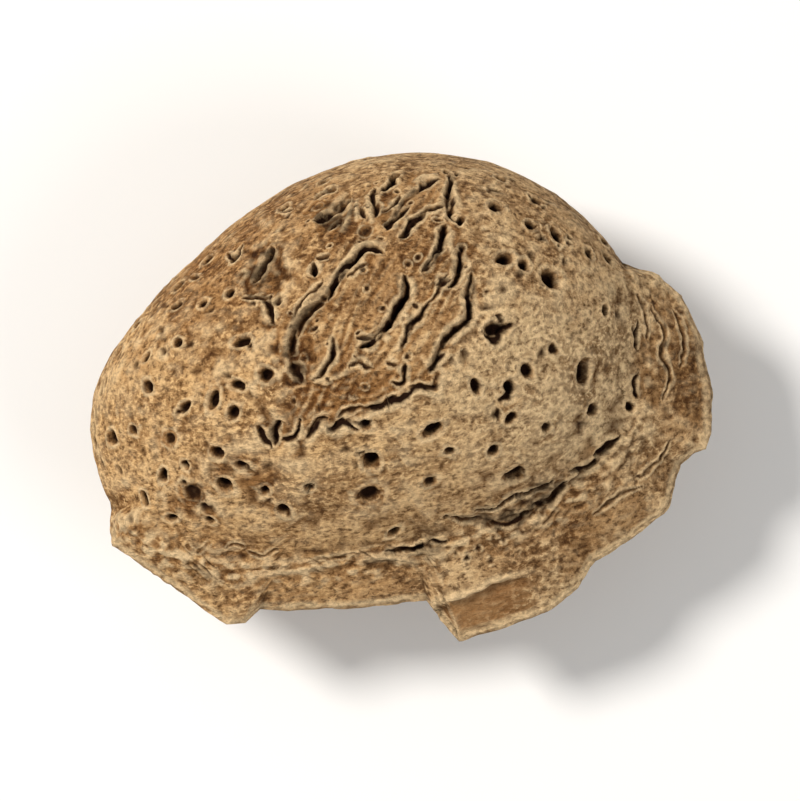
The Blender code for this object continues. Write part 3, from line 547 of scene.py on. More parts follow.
def turned_columns(cells):
    """Bearings of the grid's columns, and the turn that sets some of them on the keel's corners."""
    step = math.tau / (4 * cells)
    corners = sorted(math.atan2(y - CENTRE[1], x - CENTRE[0]) for x, y in KEEL_OUTLINE)
    columns = []
    for corner in corners:
        nearest = round(corner / step)
        columns.append(max(nearest, columns[-1] + 1) if columns else nearest)
    columns = np.array(columns) * step
    return columns, np.array(corners) - columns


def rounded_cube(bm, cells):
    """A cube of even grids whose points become directions from the nut's centre."""
    bmesh.ops.create_cube(bm, size=2.0)
    bmesh.ops.subdivide_edges(bm, edges=bm.edges[:], cuts=cells - 1, use_grid_fill=True)
    columns, turns = turned_columns(cells)
    for vert in bm.verts:
        even = Vector([math.tan(value * math.pi / 4) for value in vert.co]).normalized()
        bearing = math.atan2(even.y, even.x)
        turn = float(np.interp(bearing, columns, turns, period=math.tau))
        vert.co = Matrix.Rotation(turn, 3, "Z") @ even


def directions_of(bm):
    """Every vertex of the rounded cube as a unit direction."""
    rows = np.array([vert.co for vert in bm.verts])
    return rows / np.linalg.norm(rows, axis=1, keepdims=True)


def smooth_route(route, side, steps=6):
    """A groove's route as surface points of a smooth curve through its corners."""
    ends = np.array([route[0], *route, route[-1]])
    plan = []
    for before, start, end, after in zip(ends, ends[1:], ends[2:], ends[3:]):
        for t in np.arange(steps) / steps:
            bend = (-before + 3 * start - 3 * end + after) * t**3
            turn = (2 * before - 5 * start + 4 * end - after) * t**2
            plan.append((2 * start + (end - before) * t + turn + bend) / 2)
    plan.append(ends[-1])
    return skin_points(np.array([direction_over(x, y, side) for x, y in plan]))


def along_route(points, route):
    """Distance from a route, the share of its length there, and whether the point is on its left."""
    best = np.full(len(points), 1e9)
    share = np.zeros(len(points))
    left = np.zeros(len(points), bool)
    count = len(route) - 1
    for index, (start, end) in enumerate(zip(route[:-1], route[1:])):
        stretch = end - start
        t = np.clip(((points - start) @ stretch) / max(stretch @ stretch, 1e-9), 0.0, 1.0)
        gap = points - start - t[:, None] * stretch
        distance = np.linalg.norm(gap, axis=1)
        nearer = distance < best
        best = np.where(nearer, distance, best)
        share = np.where(nearer, (index + t) / count, share)
        left = np.where(nearer, stretch[0] * gap[:, 1] > stretch[1] * gap[:, 0], left)
    return best, share, left


def near_route(points, route, margin):
    """Indices of the points in a route's box, grown by a margin."""
    low = route.min(axis=0) - margin
    high = route.max(axis=0) + margin
    return np.flatnonzero(((points > low) & (points < high)).all(axis=1))


def inside_by(points, outline):
    """How far inside an outline, seen from above, each point lies; negative outside."""
    plan = points[:, :2]
    nearest = np.full(len(plan), 1e9)
    inside = np.zeros(len(plan), bool)
    corners = np.array(outline)
    for start, end in zip(corners, np.roll(corners, -1, axis=0)):
        stretch = end - start
        t = np.clip(((plan - start) @ stretch) / (stretch @ stretch), 0.0, 1.0)
        nearest = np.minimum(nearest, np.linalg.norm(plan - start - t[:, None] * stretch, axis=1))
        crosses = (start[1] > plan[:, 1]) != (end[1] > plan[:, 1])
        run = (end[0] - start[0]) * (plan[:, 1] - start[1]) / (end[1] - start[1] + 1e-12)
        inside ^= crosses & (plan[:, 0] < start[0] + run)
    return np.where(inside, nearest, -nearest)


def on_surface(lines, side=1.0):
    """Lines whose routes have been laid on the upper or the lower side, with their sizes kept."""
    return [(*sizes, smooth_route(route, side)) for *sizes, route in lines]


def hollow_routes():
    """The wide grooves of both sides."""
    lower = [(*UNDER_GROOVE_SIZE, route) for route in UNDER_GROOVES]
    return on_surface(FACE_GROOVES) + on_surface(lower, -1.0)


def crack_routes():
    """The thin cracks of the upper side, and one along each groove of the lower side."""
    lower = [(*UNDER_CRACK_SIZE, route) for route in UNDER_GROOVES]
    return on_surface(CRACKS) + on_surface(lower, -1.0)


def near_relief(points, pits, lines, margin):
    """Marks the points on or close to a pit, a crack, a ridge, a ledge or a torn edge."""
    near = np.zeros(len(points), bool)
    for direction, depth, longer, shorter, turn, dents in pits:
        centre = skin_points(np.array([direction]))[0]
        near |= np.linalg.norm(points - centre, axis=1) < max(longer, shorter) * 1.2 + margin
    for *_, route in lines:
        close = near_route(points, route, LINE_REACH + margin)
        near[close] |= along_route(points[close], route)[0] < LINE_REACH + margin
    upper = points[:, 2] > 0.0
    for outline in (SCAR_OUTLINE, FLAKE_OUTLINE):
        near |= upper & (np.abs(inside_by(points, outline)) < margin + 0.1)
    near |= upper & (inside_by(points, TORN_OUTLINE) > 0.1)
    return near


def on_upper_keel(directions):
    """Marks the points on the upper side of the keel."""
    bearing = np.arctan2(directions[:, 1], directions[:, 0])
    outer = full_radius(bearing)
    inner = body_radius(bearing)
    reach = np.hypot(directions[:, 0], directions[:, 1])
    return (outer - inner > 0.3) & (reach * outer > 0.96 * inner) & (directions[:, 2] > -0.05)


def refine_near_relief(bm, pits, lines, rounds):
    """Splits the grid's edges where the relief is fine, once in each round."""
    for margin in rounds:
        directions = directions_of(bm)
        near = near_relief(skin_points(directions), pits, lines, margin)
        if margin:
            near |= on_upper_keel(directions)
        bm.verts.index_update()
        edges = [edge for edge in bm.edges if near[edge.verts[0].index] or near[edge.verts[1].index]]
        bmesh.ops.subdivide_edges(bm, edges=edges, cuts=1, use_grid_fill=True)


def sink_pits(points, pits, relief):
    """Sinks each pit as an uneven cup with a faint raised lip, its inside painted dark as shade, a brown halo
    round it and its lip painted pale as a highlight with some wear.
    """
    corners = np.arange(PIT_SIDES) * math.tau / PIT_SIDES
    for direction, depth, longer, shorter, turn, dents in pits:
        centre, axes = skin_frame(direction)
        offset = points - np.array(centre)
        reach = 1.9 * max(longer, shorter)
        close = np.flatnonzero((offset**2).sum(axis=1) < reach**2)
        local = offset[close] @ np.array(axes @ Matrix.Rotation(turn, 3, "Z"))
        across = local[:, 0] / longer
        along = local[:, 1] / shorter
        angle = np.arctan2(along, across)
        mouth = np.hypot(across, along) / np.interp(angle, corners, dents, period=math.tau)
        mouth *= 1.0 + 0.14 * grain(points[close], 1.5, 31.0) + 0.14 * grain(points[close], 3.6, 37.0)
        bowl = 1.0 - smooth_step(0.35, 1.12, mouth)
        floor = 1.0 + 0.25 * grain(points[close], 4.0, 35.0)
        lip = np.exp(-(((mouth - 1.32) / 0.20) ** 2))
        tint = min(1.0, 0.45 + depth)
        relief["sink"][close] = np.maximum(relief["sink"][close], 1.1 * depth * floor * bowl)
        relief["raise"][close] += 0.035 * lip
        # Painted shade: the cup is darkened, the deeper the pit the darker.
        dark = tint * (1.0 - smooth_step(0.45, 1.0, mouth))
        relief["dark_lining_and_shade"][close] = np.maximum(relief["dark_lining_and_shade"][close], dark)
        halo = 0.7 * tint * (1.0 - smooth_step(0.9, 1.6, mouth))
        relief["stain_and_shade"][close] = np.maximum(relief["stain_and_shade"][close], halo)
        # Painted highlight with some wear: the lip is paled in patches.
        lip_patches = smooth_step(-0.5, 0.4, grain(points[close], 1.9, 39.0))
        relief["wear_and_highlight"][close] = np.maximum(relief["wear_and_highlight"][close], 0.90 * lip_patches * lip)


def sink_hollows(points, hollows, relief):
    """Sinks each wide groove as a soft valley, narrowing to its ends and shallow by the keel, painted brown with
    mottled painted shade on its floor.
    """
    for width, depth, route in hollows:
        close = near_route(points, route, 2.0 * width)
        distance, share, _ = along_route(points[close], route)
        distance = distance * (1.0 + 0.3 * grain(points[close], 1.1, 3.0) + 0.3 * grain(points[close], 2.6, 4.0))
        taper = 0.25 + 0.75 * np.sqrt(np.sin(np.pi * np.clip(share, 0.0, 1.0)))
        valley = 1.0 - smooth_step(0.1, 1.35, distance / (0.42 * width * taper))
        by_keel = 1.0 - smooth_step(-6.0, -3.0, points[close, 1])
        sunk = 0.36 * depth * taper * valley * (1.0 - 0.4 * by_keel)
        mottled = smooth_step(-0.35, 0.35, grain(points[close], 2.2, 33.0))
        sunk = sunk * (1.0 + 0.5 * grain(points[close], 2.6, 34.0))
        # Painted shade: the valley is darkened toward its middle, in mottles.
        dark = valley**2 * (0.10 + 0.50 * mottled)
        relief["sink"][close] = np.maximum(relief["sink"][close], sunk)
        relief["stain_and_shade"][close] = np.maximum(relief["stain_and_shade"][close], valley)
        relief["dark_lining_and_shade"][close] = np.maximum(relief["dark_lining_and_shade"][close], dark)


def sink_cracks(points, cracks, relief):
    """Sinks each crack with a wandering course and an uneven width, painted dark inside as its shade, with a
    brown band beside it and a pale painted highlight with some wear on its lips.
    """
    for width, depth, route in cracks:
        close = near_route(points, route, 1.5)
        distance, share, left = along_route(points[close], route)
        aside = np.where(left, distance, -distance)
        aside = aside + 0.16 * grain(points[close], 1.1, 7.0) + 0.10 * grain(points[close], 2.9, 5.0)
        taper = 0.3 + 0.7 * np.sqrt(np.sin(np.pi * np.clip(share, 0.0, 1.0)))
        girth = taper * (1.0 + 0.6 * grain(points[close], 1.3, 23.0))
        beyond = np.maximum(distance - 0.5, 0.0) * 4.0
        across = np.abs(aside) / ((0.36 * width + 0.03) * np.maximum(girth, 0.2)) + beyond
        cut = 1.0 - smooth_step(0.25, 1.45, across)
        lip = np.exp(-(((across - 2.1) / 0.7) ** 2)) * taper
        relief["deep"][close] = np.maximum(relief["deep"][close], depth * girth * cut)
        relief["raise"][close] += 0.03 * lip
        # Painted shade: the crack is darkened, in broken stretches.
        broken = 0.6 + 0.4 * smooth_step(-0.45, 0.1, grain(points[close], 1.8, 63.0))
        dark = min(1.0, 4.0 * depth) * np.clip(1.25 * cut * girth, 0.0, 1.0) * broken
        relief["dark_lining_and_shade"][close] = np.maximum(relief["dark_lining_and_shade"][close], dark)
        # A brown band runs beside the crack, and its lips are painted pale as a highlight with some wear.
        relief["stain_and_shade"][close] = np.maximum(relief["stain_and_shade"][close], 0.5 * (1.0 - smooth_step(1.0, 2.6, across)))
        relief["wear_and_highlight"][close] = np.maximum(relief["wear_and_highlight"][close], 0.85 * lip)


def comb_fibres(points, relief):
    """Streaks the torn middle with fibres that run aslant, and turns it brown."""
    inside = inside_by(points, TORN_OUTLINE)
    torn = np.flatnonzero((points[:, 2] > 0.0) & (inside > -0.8))
    share = smooth_step(-0.8, 0.7, inside[torn])
    turn = Matrix.Rotation(FIBRE_SLANT, 3, "Z")
    place = points[torn] @ np.array(turn)
    place[:, 1] += 0.5 * grain(points[torn], 0.3, 44.0)
    rows = grain(place, (0.55, 3.0, 1.0), 46.0)
    relief["raise"][torn] += FIBRE_HEIGHT * rows * share
    relief["stain_and_shade"][torn] = np.maximum(relief["stain_and_shade"][torn], share * (0.52 - 0.9 * rows))


def lift_ridges(points, ridges, relief):
    """Raises narrow ridges whose tops are rubbed pale."""
    for width, height, route in ridges:
        close = near_route(points, route, 1.5)
        distance, share, _ = along_route(points[close], route)
        distance = distance * (1.0 + 0.3 * grain(points[close], 2.3, 27.0))
        taper = np.sqrt(np.sin(np.pi * np.clip(share, 0.0, 1.0)))
        crest = np.exp(-((distance / (0.65 * width)) ** 2)) * taper
        relief["raise"][close] += 1.4 * height * crest
        # Raises narrow ridges whose tops are painted pale, a highlight with some wear.
        relief["wear_and_highlight"][close] = np.maximum(relief["wear_and_highlight"][close], crest)


def lift_ledges(points, ledges, relief):
    """Lifts the layer on one side of each ledge and lowers the other."""
    for rise, above, below, route in ledges:
        close = near_route(points, route, 2.2 * max(above, below))
        distance, share, left = along_route(points[close], route)
        height = np.where(left, distance, -distance)
        height = height + 0.13 * grain(points[close], 0.9, 11.0) + 0.06 * grain(points[close], 2.9, 15.0)
        fade = np.sqrt(np.sin(np.pi * np.clip(share, 0.0, 1.0)))
        fade = fade * (1.0 - smooth_step(1.2 * max(above, below), 2.2 * max(above, below), distance))
        higher = smooth_step(-0.10, 0.06, height)
        lifted = 0.35 * higher * np.exp(-np.abs(height) / above)
        lowered = 0.65 * (1.0 - higher) * np.exp(-np.abs(height) / below)
        relief["raise"][close] += rise * fade * (lifted - lowered)
        # Painted shade darkens the crease at the foot of each step, and a painted highlight with some wear pales
        # the lip at its top.
        crease = np.exp(-(((height + 0.08) / 0.12) ** 2)) * fade * smooth_step(0.05, 0.4, rise)
        lip = np.exp(-(((height - 0.16) / 0.14) ** 2)) * fade
        relief["stain_and_shade"][close] = np.maximum(relief["stain_and_shade"][close], 0.7 * crease)
        relief["dark_lining_and_shade"][close] = np.maximum(relief["dark_lining_and_shade"][close], 0.35 * crease)
        relief["wear_and_highlight"][close] = np.maximum(relief["wear_and_highlight"][close], 0.75 * lip)


def sink_patches(points, relief):
    """Lowers the torn scar and the flake on the upper side, each behind a crisp ragged edge."""
    upper = np.flatnonzero(points[:, 2] > 0.0)
    high = (1.0 - smooth_step(0.2, 1.7, points[upper, 1])) * smooth_step(-6.3, -4.4, points[upper, 0])
    far = 1.0 - smooth_step(3.6, 6.6, points[upper, 0])
    patches = (
        ("torn", SCAR_OUTLINE, SCAR_DEPTH, 0.14, high), ("bare", FLAKE_OUTLINE, FLAKE_DEPTH, 0.02, far)
    )
    for mask, outline, depth, rough, fade in patches:
        inside = inside_by(points[upper], outline) + rough * 1.6 * grain(points[upper], 0.9, 8.0)
        inside = inside + 0.12 * grain(points[upper], 1.7, 9.0)
        floor = smooth_step(-0.08, 0.14, inside) * fade
        texture = rough * grain(points[upper], (1.1, 2.6, 2.6), 5.0)
        relief["sink"][upper] = np.maximum(relief["sink"][upper], floor * (depth + texture))
        relief[mask][upper] = floor
        # The edge's lip is painted pale, a highlight with some wear.
        lip = np.exp(-(((inside + 0.22) / 0.18) ** 2)) * fade
        relief["raise"][upper] += 0.08 * lip
        relief["wear_and_highlight"][upper] = np.maximum(relief["wear_and_highlight"][upper], lip)


def shell_relief(points, directions, pits, lines):
    """Every inward and outward move of the skin, and masks that the finish reads."""
    names = ("sink", "deep", "raise", "dark_lining_and_shade", "wear_and_highlight", "torn", "bare", "stain_and_shade", "fold")
    relief = {name: np.zeros(len(points)) for name in names}
    sink_pits(points, pits, relief)
    sink_hollows(points, lines["hollows"], relief)
    sink_cracks(points, lines["cracks"], relief)
    comb_fibres(points, relief)
    lift_ledges(points, lines["ledges"], relief)
    lift_ridges(points, lines["ridges"], relief)
    sink_patches(points, relief)
    upper = np.flatnonzero(points[:, 2] > 0.0)
    blotch = 1.0 + 0.7 * grain(points[upper], 0.8, 50.0) + 0.5 * grain(points[upper], 2.0, 54.0)
    mottled = smooth_step(-0.3, 0.25, grain(points[upper], 2.3, 33.0))
    # Each blotch browns the skin and the strongest darken further; those in grooves, in the crease by the keel
    # and along the back paint shade.
    for x, y, radius, strength in STAINS:
        distance = np.hypot(points[upper, 0] - x, points[upper, 1] - y) * blotch
        mark = strength * (1.0 - smooth_step(0.3 * radius, 1.3 * radius, distance))
        relief["stain_and_shade"][upper] = np.maximum(relief["stain_and_shade"][upper], 1.25 * mark)
        relief["sink"][upper] = np.maximum(relief["sink"][upper], STAIN_SINK * mark)
        dark = 1.2 * np.maximum(mark - 0.7, 0.0) * (0.25 + 0.75 * mottled)
        relief["dark_lining_and_shade"][upper] = np.maximum(relief["dark_lining_and_shade"][upper], np.minimum(dark, 0.6))

    bearing = np.arctan2(directions[:, 1], directions[:, 0])
    reach = np.hypot(directions[:, 0], directions[:, 1])
    keel_width = full_radius(bearing) - body_radius(bearing)
    on_keel = smooth_step(0.2, 1.2, keel_width) * smooth_step(0.86, 0.97, reach)
    start = smooth_step(0.0, 0.1, keel_width) * (1.0 - smooth_step(1.0, 1.8, keel_width))
    relief["fold"] = start * smooth_step(0.7, 0.85, reach)
    fibres = grain(points, (0.35, 1.5, 1.5), 20.0)
    mottle = grain(points, 0.55, 40.0)
    relief["raise"] += 0.05 * fibres + 0.06 * mottle

    # Ridges run round the stem end, along the keel's root.
    outer = full_radius(bearing)
    band = np.cos(bearing + 0.1) ** 8 * (np.cos(bearing) > 0.0)
    rows = np.sin(reach * outer * 5.2 + 1.8 * grain(points, 0.5, 60.0))
    relief["raise"] += 0.06 * band * on_keel * rows
    crumbs = grain(points, (1.1, 2.9, 2.9), 70.0)
    relief["raise"] += 0.06 * on_keel * crumbs

    # The skin is crumpled along the keel's root, browner and shaded in its dips and folds with a painted
    # highlight on its lumps, and the keel's edge is painted pale as a highlight with some wear, brightest at its
    # corners.
    rim_place = np.stack([9.0 * bearing, 2.2 * reach * outer, 3.0 * np.sign(points[:, 2])], axis=1)
    folds = 1.0 - smooth_step(0.02, 0.22, np.abs(grain(rim_place, 1.0, 80.0)))
    root = np.exp(-(((reach * outer / body_radius(bearing) - 1.0) / 0.08) ** 2))
    root = root * smooth_step(0.2, 1.2, keel_width)
    lumps = grain(points, (1.6, 2.3, 2.3), 90.0)
    root = root * (1.0 - 0.8 * band)
    relief["raise"] += 0.16 * root * lumps
    relief["stain_and_shade"] = np.maximum(relief["stain_and_shade"], root * (0.35 - 1.2 * lumps))
    relief["wear_and_highlight"] = np.maximum(relief["wear_and_highlight"], root * smooth_step(0.08, 0.3, lumps))
    folds = folds * root * smooth_step(-0.3, 0.3, mottle)
    relief["raise"] -= 0.10 * folds
    relief["dark_lining_and_shade"] = np.maximum(relief["dark_lining_and_shade"], 0.40 * folds)
    edge = (1.0 - smooth_step(0.22, 0.55, outer * (1.0 - reach))) * smooth_step(0.2, 1.0, keel_width)
    upright = np.abs(directions[:, 2])
    # A thin groove runs along the middle of the keel's edge, painted dark as its shade.
    seam = np.exp(-(((upright + 0.05 * mottle) / 0.05) ** 2)) * edge * smooth_step(-0.4, 0.2, fibres)
    relief["raise"] -= 0.09 * seam
    relief["dark_lining_and_shade"] = np.maximum(relief["dark_lining_and_shade"], 0.45 * seam)
    # Painted highlight with some wear along the keel's edge, strongest at its corners.
    corner = 0.35 + 0.65 * smooth_step(0.06, 0.20, upright)
    relief["rim"] = edge * corner * smooth_step(-0.9, 0.1, crumbs)
    return relief


def ragged_edge(points, directions):
    """Nibbles at the keel's outer edge, never past its outline."""
    bearing = np.arctan2(directions[:, 1], directions[:, 0])
    reach = np.hypot(directions[:, 0], directions[:, 1])
    on_keel = smooth_step(0.2, 1.0, full_radius(bearing) - body_radius(bearing))
    ring = np.stack([np.cos(bearing), np.sin(bearing), 0.0 * bearing], axis=1)
    bite = np.maximum(0.6 * grain(ring, 11.0) + 0.4 * grain(ring, 37.0), 0.0) * 0.014
    keep = 1.0 - bite * on_keel * smooth_step(0.88, 1.0, reach)
    centre = np.array(CENTRE)
    points[:, :2] = centre + (points[:, :2] - centre) * keep[:, None]


def evened(values, edges, count, rounds):
    """Values averaged over each vertex and its neighbours."""
    ends = np.concatenate([edges[:, 0], edges[:, 1]])
    others = np.concatenate([edges[:, 1], edges[:, 0]])
    degree = np.bincount(ends, minlength=count)
    for _ in range(rounds):
        values = (values + np.bincount(ends, values[others], minlength=count) / degree) / 2
    return values


def fit_to_box(points, low, high):
    """Scales the finished skin by a hair, so that it fills the frame's box exactly."""
    own_low = points.min(axis=0)
    own_high = points.max(axis=0)
    return np.array(low) + (points - own_low) / (own_high - own_low) * (np.array(high) - np.array(low))


def lay_map(bm, directions):
    """Two ovals on one square: the upper half of the skin below, the lower half above."""
    layer = bm.loops.layers.uv.new("OFBake")
    reach = np.sqrt(np.clip(1.0 - np.abs(directions[:, 2]), 0.0, 1.0))
    bearing = np.arctan2(directions[:, 1], directions[:, 0])
    across = 0.5 + 0.485 * reach * np.cos(bearing)
    along = 0.2425 * reach * np.sin(bearing)
    for face in bm.faces:
        middle = sum(directions[vert.index, 2] for vert in face.verts)
        base = 0.25 if middle > 0.0 else 0.75
        for loop in face.loops:
            index = loop.vert.index
            loop[layer].uv = (across[index], base + along[index])


def settings_of(context):
    return context.scene.almond_shell, context.scene.almond_colours, context.scene.almond_stage


class AlmondShellSettings(PropertyGroup):
    """Sizes of the shell."""

    length: FloatProperty(
        name="Length", description="Pointed end to stem end", default=CAD_SIZE.x, unit="LENGTH"
    )
    width: FloatProperty(
        name="Width", description="Back to keel", default=CAD_SIZE.y, unit="LENGTH"
    )
    thickness: FloatProperty(
        name="Thickness", description="Rest spot to crown", default=CAD_SIZE.z, unit="LENGTH"
    )
    cells: IntProperty(
        name="Grid cells", description="Cells along each side of the skin's grid", default=62, min=16
    )


class AlmondColours(PropertyGroup):
    """Colours and gloss of the shell."""

    dark: FloatVectorProperty(
        name="Fibre", description="Dark fibres of the shell", subtype="COLOR", size=3,
        default=(0.066, 0.027, 0.008), min=0.0, max=1.0,
    )
    middle: FloatVectorProperty(
        name="Shell", description="Most of the shell", subtype="COLOR", size=3,
        default=(0.285, 0.166, 0.074), min=0.0, max=1.0,
    )
    pale: FloatVectorProperty(
        name="Bloom", description="Pale dusty high spots", subtype="COLOR", size=3,
        default=(0.740, 0.525, 0.288), min=0.0, max=1.0,
    )
    # The near-black colour painted into pits, cracks and creases as their shade.
    pit: FloatVectorProperty(
        name="Pit", description="Inside of pits and grooves", subtype="COLOR", size=3,
        default=(0.015, 0.005, 0.0015), min=0.0, max=1.0,
    )
    roughness: FloatProperty(
        name="Roughness", description="Matt finish of the dry shell", default=0.88, min=0.0, max=1.0,
        subtype="FACTOR",
    )


class AlmondStageSettings(PropertyGroup):
    """The studio that the nut lies in."""

    floor: FloatVectorProperty(
        name="Floor", description="Colour of the plain floor", subtype="COLOR", size=3,
        default=(0.80, 0.79, 0.775), min=0.0, max=1.0,
    )
    azimuth: FloatProperty(
        name="Azimuth", description="Turn of the camera round the nut", default=math.radians(-9.0),
        subtype="ANGLE",
    )
    elevation: FloatProperty(
        name="Elevation", description="Height of the camera over the horizon",
        default=math.radians(86.0), subtype="ANGLE",
    )
    lens: FloatProperty(
        name="Lens", description="Focal length in millimetres", default=200.0, min=20.0
    )
    distance: FloatProperty(
        name="Distance", description="Camera to nut", default=0.243, unit="LENGTH"
    )


def link_chain(tree, *sockets):
    """Links sockets two by two: out, in, out, in."""
    for out, into in zip(sockets[::2], sockets[1::2]):
        tree.links.new(out, into)


def noise_node(tree, vector, scale, detail=3.0, roughness=0.55):
    node = tree.nodes.new("ShaderNodeTexNoise")
    node.inputs["Scale"].default_value = scale
    node.inputs["Detail"].default_value = detail
    node.inputs["Roughness"].default_value = roughness
    tree.links.new(vector, node.inputs["Vector"])
    return node.outputs["Fac"]


def stretched(tree, vector, scale):
    node = tree.nodes.new("ShaderNodeMapping")
    node.inputs["Scale"].default_value = scale
    tree.links.new(vector, node.inputs["Vector"])
    return node.outputs["Vector"]


def range_node(tree, value, low, high, to_low=0.0, to_high=1.0):
    node = tree.nodes.new("ShaderNodeMapRange")
    for name, number in (("From Min", low), ("From Max", high), ("To Min", to_low), ("To Max", to_high)):
        node.inputs[name].default_value = number
    tree.links.new(value, node.inputs["Value"])
    return node.outputs["Result"]


def math_node(tree, operation, first, second):
    node = tree.nodes.new("ShaderNodeMath")
    node.operation = operation
    for socket, value in zip(node.inputs, (first, second)):
        if isinstance(value, float):
            socket.default_value = value
        else:
            tree.links.new(value, socket)
    return node.outputs[0]


def colour_mix(tree, factor, first, second, blend="MIX"):
    node = tree.nodes.new("ShaderNodeMix")
    node.data_type = "RGBA"
    node.blend_type = blend
    for socket, value in ((node.inputs[0], factor), (node.inputs[6], first), (node.inputs[7], second)):
        if isinstance(value, float):
            socket.default_value = value
        elif isinstance(value, tuple):
            socket.default_value = (*value, 1.0)
        else:
            tree.links.new(value, socket)
    return node.outputs[2]


def mask_node(tree, name):
    node = tree.nodes.new("ShaderNodeAttribute")
    node.attribute_name = name
    return node.outputs["Fac"]


def shell_material(colours):
    """Dry woody shell: mottled fibres, painted shade in its pits, cracks and hollows, and pale rims painted as a
    highlight with some wear.
    """
    material = bpy.data.materials.new("almond_shell_finish")
    material.use_nodes = True
    tree = material.node_tree
    shader = tree.nodes["Principled BSDF"]
    place = tree.nodes.new("ShaderNodeTexCoord").outputs["Object"]
    dark, middle, pale, pit = (
        tuple(getattr(colours, name)) for name in ("dark", "middle", "pale", "pit")
    )

    fibre = noise_node(tree, stretched(tree, place, (1000.0, 2600.0, 2600.0)), 1.0, 4.0, 0.62)
    speckle = noise_node(tree, stretched(tree, place, (3000.0, 3700.0, 3700.0)), 1.0, 4.0, 0.64)
    fleck = noise_node(tree, place, 1700.0, 3.0, 0.6)
    patch = noise_node(tree, place, 330.0, 5.0, 0.62)
    drift = noise_node(tree, place, 75.0, 2.0, 0.5)

    sheet = colour_mix(tree, range_node(tree, patch, 0.42, 0.70, 0.0, 0.75), middle, pale)
    sheet = colour_mix(tree, range_node(tree, patch, 0.45, 0.30, 0.0, 0.35), sheet, dark)
    sheet = colour_mix(tree, range_node(tree, fibre, 0.47, 0.34, 0.0, 0.40), sheet, dark)
    sheet = colour_mix(tree, range_node(tree, fibre, 0.54, 0.66, 0.0, 0.40), sheet, pale)
    sheet = colour_mix(tree, range_node(tree, speckle, 0.52, 0.62, 0.0, 0.85), sheet, pale)
    sheet = colour_mix(tree, range_node(tree, speckle, 0.47, 0.37, 0.0, 0.80), sheet, dark)
    sheet = colour_mix(tree, range_node(tree, fleck, 0.36, 0.30, 0.0, 0.7), sheet, dark)

    # The pointed half is warmer, and the stem half greyer.
    split = tree.nodes.new("ShaderNodeSeparateXYZ")
    tree.links.new(place, split.inputs[0])
    side = range_node(tree, split.outputs["X"], -0.012, 0.012)
    side = math_node(tree, "ADD", side, range_node(tree, drift, 0.3, 0.7, -0.35, 0.35))
    warm = colour_mix(tree, 0.5, sheet, (1.07, 0.83, 0.50), "MULTIPLY")
    cool = colour_mix(tree, 0.5, sheet, (1.18, 1.22, 1.22), "MULTIPLY")
    sheet = colour_mix(tree, side, warm, cool)

    bare = colour_mix(tree, range_node(tree, patch, 0.35, 0.65), (0.27, 0.130, 0.046), (0.38, 0.20, 0.078))
    sheet = colour_mix(tree, range_node(tree, mask_node(tree, "bare"), 0.0, 1.0, 0.0, 0.8), sheet, bare)
    torn = colour_mix(tree, 1.0, sheet, (0.78, 0.68, 0.56), "MULTIPLY")
    sheet = colour_mix(tree, mask_node(tree, "torn"), sheet, torn)
    # Brown stains; some of them are painted shade in grooves, creases and along the back.
    brown = colour_mix(tree, 1.0, sheet, (0.56, 0.44, 0.33), "MULTIPLY")
    sheet = colour_mix(tree, mask_node(tree, "stain_and_shade"), sheet, brown)
    # A painted highlight with some wear pales lips and crests.
    dull = tuple(0.65 * value for value in pale)
    bright = colour_mix(tree, range_node(tree, speckle, 0.42, 0.56), dull, pale)
    sheet = colour_mix(tree, mask_node(tree, "wear_and_highlight"), sheet, bright)
    # Painted shade darkens concave places, and a painted highlight with some wear pales convex places and the
    # keel's edge.
    for name, most, tone in (("concave_shade", 0.85, dark), ("convex_wear_and_highlight", 0.8, bright), ("rim", 1.0, bright)):
        sheet = colour_mix(tree, range_node(tree, mask_node(tree, name), 0.0, 1.0, 0.0, most), sheet, tone)
    # Painted shade: pits, cracks, creases and folds are darkened toward the pit colour.
    sheet = colour_mix(tree, range_node(tree, mask_node(tree, "dark_lining_and_shade"), 0.0, 0.8), sheet, pit)
    tree.links.new(sheet, shader.inputs["Base Color"])

    bump = tree.nodes.new("ShaderNodeBump")
    bump.inputs["Strength"].default_value = 1.0
    bump.inputs["Distance"].default_value = 0.00031
    height = math_node(tree, "ADD", math_node(tree, "MULTIPLY", fibre, 0.6), speckle)
    link_chain(tree, height, bump.inputs["Height"], bump.outputs["Normal"], shader.inputs["Normal"])
    shader.inputs["Roughness"].default_value = colours.roughness
    shader.inputs["Specular IOR Level"].default_value = 0.08
    return material


def add_mask(mesh, name, values):
    layer = mesh.attributes.new(name, "FLOAT", "POINT")
    layer.data.foreach_set("value", np.clip(values, 0.0, 1.0).astype(np.float32))


